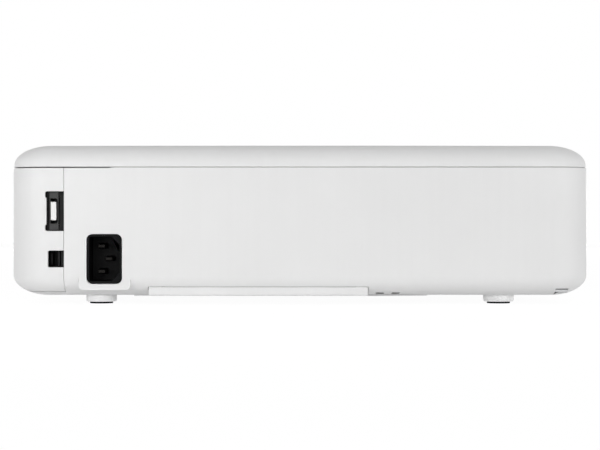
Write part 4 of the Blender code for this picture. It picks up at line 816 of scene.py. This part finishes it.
# The ink is flatter than the satin round it, so that the marks read from any side.
grey_ink = moulded("grey pad-printed ink", "grey_abs", "#6A6C6F", 0.6, 0.4, 0.004)
key_line = [(0, KEY_TOP - 0.12), (2.2, KEY_TOP - 0.09), (3.9, KEY_TOP), (4.35, KEY_TOP - 0.1)]
key_line += [(KEY_RADIUS, KEY_TOP - 0.4), (KEY_RADIUS, UNDER_LID), (FLANGE, UNDER_LID)]
key_line += [(FLANGE, 85.7), (STEM, 85.7), (STEM, 82.7), (0, 82.7)]


def bar_mark(x, y, width, depth):
    return slab(span(x, width), span(y, depth), MARK_Z)


def arrow_mark(x, y, size, quarter):
    """A flat triangle that points along one of the four directions."""
    return rod(size, MARK_Z, at(x, y, turn=90 * quarter), 3)


def ring_mark(radius, width, gap=0.0):
    outer, inner = radius + width / 2, radius - width / 2
    line = [(outer, MARK_Z[1]), (outer, MARK_Z[0]), (inner, MARK_Z[0]), (inner, MARK_Z[1])]
    ring = lathe(line, at(0, 0), 48, closed=True)
    return cut(ring, slab(span(0, gap), (0, 2 * radius), (80, 95))) if gap else ring


key_marks = {
    "power": merged(ring_mark(1.7, 0.4, gap=1.3), bar_mark(0, 1.45, 0.4, 1.7)),
    "source": merged(ring_mark(2.0, 0.35, gap=1.6), arrow_mark(0, 0.4, 0.9, 0)),
    "menu": merged(*[bar_mark(0, y, 3.4, 0.4) for y in (-1.1, 0, 1.1)]),
    "escape": merged(arrow_mark(-1.0, 0, 1.0, 1), bar_mark(0.75, 0, 2.2, 0.4)),
    "enter": ring_mark(1.5, 0.4),
}
for quarter, way in enumerate(("up", "left", "down", "right")):
    key_marks[way] = arrow_mark(0, 0, 1.5, quarter)
for key, place in key_places.items():
    name = f"{key}_button"
    piece(f"{name}_cap", lathe(key_line, place), white_abs, name, body=name, soften=0)
    piece(f"{name}_mark", moved(key_marks[key], place), grey_ink, body=name, soften=0)


# ---- the indicator lights
# Three pips of clear acrylic, moulded on one bar above the control board, carry its lights up
# through the cover.
GLOSS_WAVE = 9  # the gloss of a clear face drifts over so many mm
FLUORIDE_IOR = 1.38  # of the hard coating on optical glass


def clear(name, code, roughness, ior, coating=0.0):
    """Glass or clear plastic, with a slight unevenness in its gloss and a coating in nm."""
    finish, tree = new_finish(name)
    where = add_node(tree, "ShaderNodeTexCoord").outputs["Object"]
    wave = {"Vector": where, "Scale": 1 / (GLOSS_WAVE * MM), "Detail": 1.0}
    wave = add_node(tree, "ShaderNodeTexNoise", wave)
    gloss = {0: wave.outputs["Fac"], 1: 0.03, 2: roughness}
    sheen = add_node(tree, "ShaderNodeMath", gloss, operation="MULTIPLY_ADD")
    surface = {
        "Base Color": linear(code),
        "Roughness": sheen.outputs[0],
        "IOR": ior,
        "Transmission Weight": 1.0,
        "Thin Film Thickness": coating,
        "Thin Film IOR": FLUORIDE_IOR,
    }
    shader = add_node(tree, "ShaderNodeBsdfPrincipled", surface)
    add_node(tree, "ShaderNodeOutputMaterial", {"Surface": shader.outputs[0]})
    return finish


# The acrylic is clear and polished, so that each pip takes a small bright point.
clear_acrylic = clear("clear acrylic", "#F4F8FA", 0.06, 1.49)
(first, y), _, (last, _) = light_places
pips = slab(grown((first, last), 1.75), span(y, 3.5), (81.9, 83.5))
pips = joined(pips, *[rod(1.2, (82.5, KEY_TOP), at(x, y), 32) for x, y in light_places])
piece("indicator_light_pipe", pips, clear_acrylic, "light_pipe", soften=0.2)


# ---- the keystone slider
# A knob of white ABS with five grooves for the finger. It stands in its slot on a carrier that
# slides under the cover.
carrier = slab(span(KEYSTONE_X, 16), span(KEYS_Y, 10), (85.1, UNDER_LID))
knob = rounded(slab(span(KEYSTONE_X, 9), span(KEYS_Y, 4.6), (85.8, KEY_TOP)), 1.0, 5, "Z")
grooves = [slab(span(x, 0.6), (-58, -46), (87.6, 90)) for x in row(5, 1.5, KEYSTONE_X)]
knob = joined(carrier, cut(knob, merged(*grooves)))
piece("keystone_knob", knob, white_abs, "keystone_slider", body="keystone_slider", soften=0.15)


# ---- the lens
# A glass lens in a black barrel, sunk in a stepped black surround that catches stray light.
# The focus ring round it is grey ABS with fine teeth and one tab for a finger.
lens_axis = along("Y", LENS_X, 0, LENS_Z)
TEETH = 60
GLASS_RADIUS, DOME_RADIUS = 19.2, 19.6

# The satin grey sets the parts that move off from the black round them.
grey_abs = moulded("grey ABS, satin", "grey_abs", "#5F6164", 0.45)
# The coating dims and tints what the glass mirrors, so that the lens looks deep.
coated_glass = clear("coated optical glass", "#F2F5FF", 0.0, 1.52, 420.0)

throat = [(31, 100.4), (31, 74), (22.6, 74), (22.6, 76), (27.6, 76), (27.6, 94.5)]
for step in range(4):
    low, wide = 94.5 + 1.4 * step, 27.6 + 0.1 * step
    throat += [(wide - 0.35 if step else wide, low), (wide, low + 0.35)]
throat += [(28, 99.9), (28.4, 100.4)]
surround = lathe(throat, lens_axis, 128, closed=True)
surround = joined(surround, slab(span(LENS_X, 28), (74.3, 83.7), (7.8, 15)))
piece("lens_surround_baffle", surround, black_abs, "lens_surround", soften=0.2)

barrel = [(22, 91.6), (22, 33.7), (27, 33.7), (27, 29.7), (18, 29.7), (18, 33.7), (19.5, 33.7)]
barrel += [(19.5, 89.2)]
for step in range(3):
    y = 89.2 + 0.9 * step
    barrel += [(19.5 + 0.3 * step, y), (19.8 + 0.3 * step, y + 0.25)]
barrel += [(20.6, 92), (21.6, 92)]
barrel = lathe(barrel, lens_axis, 96, closed=True)
piece("lens_barrel_tube", barrel, black_abs, "lens_barrel", soften=0.15)

dome = [GLASS_RADIUS * n / 16 for n in range(17)]
face = [(r, 84.5 + 4.5 * math.sqrt(max(0, 1 - (r / DOME_RADIUS) ** 2))) for r in dome]
back = [(r, 80.5 - 2.5 * math.sqrt(max(0, 1 - (r / DOME_RADIUS) ** 2))) for r in reversed(dome)]
glass = lathe(face + back, lens_axis, 96)
piece("front_lens_glass", glass, coated_glass, "front_lens", soften=0)

ring = lathe([(26.2, 89), (26.2, 79), (22.3, 79), (22.3, 89)], lens_axis, 180, closed=True)
tab = rounded(slab(span(LENS_X, 4.4), (84, 94.5), (66.9, 70)), 0.8, 4, "Y")
teeth = []
for number in range(TEETH):
    turn = Matrix.Rotation(math.tau * (number + 0.5) / TEETH, 4, "Z")
    teeth.append(slab((25.7, 27), span(0, 0.9), (78, 86.5), lens_axis @ turn))
ring = joined(cut(ring, merged(*teeth)), tab)
piece("focus_ring_knurled", ring, grey_abs, "focus_ring", body="focus_ring", soften=0.12)


# ---- the lens cover
# A black ABS plate that slides across behind the front wall, pushed by a ridge that stands
# through the slot in the wall.
cover = rounded(slab((-10, 58), (100.7, 102.4), (15.4, 72.6)), 3, 6, "Y")
ridge = rounded(slab((-8, -2), (101.5, 105.3), (40.8, 47.2)), 0.7, 4, test=lambda m: m.y > 105)
grooves = [slab(span(x, 0.6), (104.8, 107), (38, 50)) for x in row(3, 1.5, -5)]
cover = joined(cover, cut(ridge, merged(*grooves)))
piece("lens_cover_shutter", cover, black_abs, "lens_cover", body="lens_cover", soften=0.2)


# ---- the grille and the receiver
# A white ABS panel with seventeen upright slots lets the hot air out at the front. Beside it
# is the window of the remote receiver, in smoked acrylic that looks black.
GRILLE_Z = 44.65

# The polished face mirrors the room darkly, with a faint wave.
smoked = moulded("smoked acrylic", "smoked_acrylic", "#1A0B0E", 0.1, 8, 0.004)
vents = [
    rounded(slab(span(x, 2.5), (100, 108), span(GRILLE_Z, 48)), 1.2, 6, "Y")
    for x in row(17, 4, -68)
]
grille = cut(slab((-104, -32), (103, FRONT), span(GRILLE_Z, 54)), merged(*vents))
piece("exhaust_grille_panel", grille, white_abs, "exhaust_grille", soften=0.35)

window = rounded(slab((-27, -14), (101.5, 105.3), (54, 62)), 3, 8, "Y")
piece("receiver_lens", window, smoked, "receiver_window", soften=0.3)


# ---- the fans
# Two axial fans in black frames with four struts: one at the grille, one flat over the filter.
# Their grey rotors have seven blades that curve as they are swept.
FAN_HALF = 10
BLADES, CHORD, BLADE_WALL, CAMBER = 7, 12.6, 1.1, 1.1
ROOT_PITCH, TWIST, SWEEP = 46, 16, 0.16  # degrees at the hub, degrees lost by the tip, radians


def fan(name, side, place):
    """A fan's frame and rotor round its own Z, with the struts at the low end."""
    bore, hub = side / 2 - 2.8, 0.21 * side
    housing = rounded(slab(span(0, side), span(0, side), (-FAN_HALF, FAN_HALF)), 4, 6, "Z")
    corner = side / 2 - 4.2
    corners = [(x, y) for x in (-corner, corner) for y in (-corner, corner)]
    holes = [rod(1.7, (-12, 12), at(x, y), 24) for x, y in corners]
    housing = cut(housing, rod(bore, (-12, 12), at(0, 0), 96), merged(*holes))
    arm = (0, side / 2 - 1.4), span(0, 3), (0.1 - FAN_HALF, 2.8 - FAN_HALF)
    struts = [slab(*arm, at(0, 0, turn=90 * quarter)) for quarter in range(4)]
    motor = rod(hub, (0.05 - FAN_HALF, 3 - FAN_HALF), at(0, 0), 64)
    housing = joined(housing, motor, *struts)
    housing = moved(cut(housing, rod(1.8, (-12, -6), at(0, 0), 24)), place)
    piece(f"{name}_fan_housing", housing, black_abs, f"{name}_fan_frame")

    low, high = 3.3 - FAN_HALF, FAN_HALF - 0.3
    cap = [(0, high), (hub - 1.2, high), (hub - 0.3, high - 0.4), (hub, high - 1.3), (hub, low)]
    cap += [(1.5, low), (1.5, 0.3 - FAN_HALF), (0, 0.3 - FAN_HALF)]
    blades = []
    for number in range(BLADES):
        sheet = bmesh.new()
        bmesh.ops.create_grid(sheet, x_segments=10, y_segments=8, size=0.5)
        for vert in sheet.verts:
            out, across = vert.co.x + 0.5, vert.co.y
            reach = hub - 1.0 + out * (bore - hub)
            pitch = math.radians(ROOT_PITCH - TWIST * out)
            chord = CHORD * across
            camber = CAMBER * (1 - 4 * across * across)
            swing = chord * math.cos(pitch) - camber * math.sin(pitch)
            rise = chord * math.sin(pitch) + camber * math.cos(pitch)
            angle = swing / reach + SWEEP * out
            vert.co = (reach * math.cos(angle), reach * math.sin(angle), (low + high) / 2 + rise)
        item = object_of(sheet, "blade")
        body = item.modifiers.new("thickness", "SOLIDIFY")
        body.thickness = BLADE_WALL
        body.offset = 0
        blade = settled(item)
        turn = Matrix.Rotation(math.tau * number / BLADES, 3, "Z")
        bmesh.ops.rotate(blade, matrix=turn, verts=blade.verts)
        blades.append(blade)
    rotor = moved(joined(lathe(cap, at(0, 0), 64), *blades), place)
    spun = {"body": f"{name}_rotor", "soften": 0, "turn": 40}
    piece(f"{name}_fan_wheel", rotor, grey_abs, f"{name}_fan_rotor", **spun)


fan("exhaust", 64, along("Y", -68, 88, GRILLE_Z))
fan("intake", 50, at(-30, -58, 23))


# ---- the main board
# A green glass-epoxy board on edge behind the sockets, on two feet of the case. Three black
# chips with tinned legs are soldered to one face, and five small black parts to the other.
LEGS = 8

# The mask is glossy over the weave of the glass, so that the green shimmers a little.
green_board = moulded(
    "green solder mask on glass epoxy", "green_board", "#1E5B38", 0.35, 1.2, 0.02
)
# Tin is pale and soft, and picks out the legs and the lands.
tin = metal("tinned copper", "#B9BBBC", 0.35, 0.4, 0.003)

plate = slab((-131.6, -130), (-100.3, 29.7), (14, 72))
corners = [along("X", 0, y, z) for y in (-96, 25) for z in (18, 68)]
plate = cut(plate, merged(*[rod(1.6, (-140, -120), corner, 24) for corner in corners]))
piece("main_board_plate", plate, green_board, "main_board", soften=0.1)
land = [(3, -131.7), (3, -129.9), (1.7, -129.9), (1.7, -131.7)]
lands = [lathe(land, corner, 32, closed=True) for corner in corners]
piece("main_board_lands", merged(*lands), tin, soften=0)

chip_places = [((-58.7, -32.7), (31.4, 54.6)), ((-18.4, -0.2), (27.05, 41.55))]
chip_places += [((-9.3, 3.7), (51.7, 63.3))]
chips = [slab((-130.1, -127), y, z) for y, z in chip_places]
chips += [slab((-132.5, -131.5), span(y, 5), span(64, 4)) for y in row(5, 14, -42)]
piece("main_board_chips", merged(*chips), black_abs, soften=0.15)
legs = []
for y, z in chip_places:
    for n in range(LEGS):
        step = (y[1] - y[0]) * (n + 0.5) / LEGS
        legs.append(slab((-130.05, -129.6), span(y[0] + step, 0.8), (z[0] - 1.2, z[1] + 1.2)))
piece("main_board_chip_legs", merged(*legs), tin, soften=0)


# ---- the power supply
# A board on two rails with a taped transformer, one tall capacitor in its black sleeve and a
# finned heat sink of extruded aluminium.
SUPPLY_X, CORE_Y = -106.6, -39.4
CAN_AXIS = (SUPPLY_X, -0.36)

# The extrusion's lines draw the light out along the fins.
aluminium = metal("extruded aluminium", "#C4C6C8", 0.4, 0.5, 0.004, (1, 1, 0.08))
# The tape is smooth and a little wavy, so that it shines in patches.
yellow_tape = moulded("yellow polyester tape", "grey_abs", "#D6B136", 0.35, 2.5, 0.02)
# The ferrite is a dry dark grey, like slate.
ferrite = moulded("sintered ferrite", "black_abs", "#37383B", 0.6, 0.6, 0.02, shine=0.3)

plate = slab((-125.2, -88), (-76, 46), (12.8, 14.4))
piece("power_board_plate", plate, green_board, "power_supply_board", soften=0.1)
core = slab(span(SUPPLY_X, 26), span(CORE_Y, 28), (14.3, 39.6))
window = slab(span(SUPPLY_X, 30), span(CORE_Y, 19), (19, 35))
piece("transformer_core", cut(core, window), ferrite, soften=0.4)
winding = rounded(slab(span(SUPPLY_X, 25), span(CORE_Y, 18.6), (19.2, 34.8)), 2.5, 5, "X")
piece("transformer_winding", winding, yellow_tape, soften=0.2)
can = [(0, 43.2), (7.6, 43.2), (7.9, 43.6), (8.7, 43.4), (9, 42.9), (9, 17.4), (8.6, 16.8)]
can = lathe(can + [(9, 16.2), (9, 14.3), (0, 14.3)], at(*CAN_AXIS))
piece("capacitor_sleeve", can, black_abs, soften=0)
can_top = lathe([(0, 43.5), (7.5, 43.5), (7.5, 43.1), (0, 43.1)], at(*CAN_AXIS))
score = [slab(span(0, 9), span(0, 0.5), (43.35, 44), at(*CAN_AXIS, 0, turn)) for turn in (45, 135)]
piece("capacitor_top", cut(can_top, *score), aluminium, soften=0)
sink = slab((-92.4, -91), (-4.5, 35.5), (14.3, 43.6))
fins = [slab((-94, -92), span(y, 1.2), (14.3, 43.6)) for y in row(11, 3.84, 15.5)]
piece("heat_sink_extrusion", joined(sink, merged(*fins)), aluminium, soften=0.15)


# ---- the loudspeaker
# A small driver that faces the slots in the left wall: a black frame with its magnet and a dark
# paper cone with a rolled edge and a dust cap.
speaker_axis = along("X", -157.2, 20, 46)

# Pressed paper is matt, and its fibres make the black look soft.
paper_cone = moulded("black pressed paper", "black_abs", "#232325", 0.8, 0.9, 0.04, shine=0.15)
basket = [(0, 14), (11, 14), (11, 7), (22, 3.5), (22, 0), (18.6, 0), (18.6, 1.4)]
basket += [(5.5, 6.6), (0, 6.6)]
piece("speaker_frame", lathe(basket, speaker_axis), black_abs, "speaker")
cone = [(0, 3.4), (2.6, 3.9), (4.7, 5.2), (16.2, 1.0), (16.7, 0.4), (17.3, 0.2), (17.9, 0.4)]
cone += [(18.4, 1.0), (18.4, 1.35), (16.2, 1.4), (4.9, 5.9), (0, 5.9)]
piece("speaker_cone", lathe(cone, speaker_axis), paper_cone, soften=0)


# ---- the control board
# A glass-epoxy board that hangs from the cover's four posts. Each key's stem presses one snap
# dome of sprung steel on it.
plate = slab((-56, 60), (-73, -31), (80, 81.6))
piece("control_board_plate", plate, green_board, "control_board", soften=0.1)
dome = [(0, 81.85), (1.6, 81.8), (2.6, 81.6), (2.6, 81.5), (0, 81.5)]
domes = [lathe(dome, place, 32) for place in key_places.values()]
piece("control_board_domes", merged(*domes), zinc_steel, soften=0)


# ---- the optical engine
# A cast magnesium tray behind the lens holds a glass prism with a small LCD panel on three of
# its sides, under a ribbed lid held by four screws. The lamp in its grey box shines in from the
# rear. The lid is new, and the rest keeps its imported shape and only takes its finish.

# Blasting leaves the casting an even, dull silver grey.
cast_magnesium = metal("sand-blasted cast magnesium", "#9A9B9D", 0.55, 0.8, 0.03)
lid_plate = slab((54, 130), (-40, 29.4), (66.1, 67.2))
ribs = [slab(span(LENS_X, 70), span(y, 1.6), (66.6, 68.1)) for y in row(4, 14, -5)]
lid_plate = joined(lid_plate, *ribs, slab(span(LENS_X, 1.6), span(-5.3, 62), (66.6, 68.1)))
piece("engine_lid_casting", lid_plate, cast_magnesium, "engine_lid", soften=0.2)
head_line = [(0, 68), (1.7, 67.9), (2.3, 67.3), (2.3, 67.1), (0, 67.1)]
screws = []
for x, y in [(x, y) for x in (57.5, 126.5) for y in (-36.5, 26)]:
    cross = [slab(span(x, a), span(y, b), (67.5, 69)) for a, b in ((2.4, 0.5), (0.5, 2.4))]
    screws.append(cut(lathe(head_line, at(x, y), 32), *cross))
piece("engine_lid_screws", merged(*screws), zinc_steel, soften=0)
dress(cast_magnesium, "optical_engine_case")
dress(coated_glass, "rear_lens", "dichroic_prism", "lamp_reflector", "lamp_burner")
dress(smoked, "lcd_panel_red", "lcd_panel_green", "lcd_panel_blue")
dress(grey_abs, "lamp_housing")
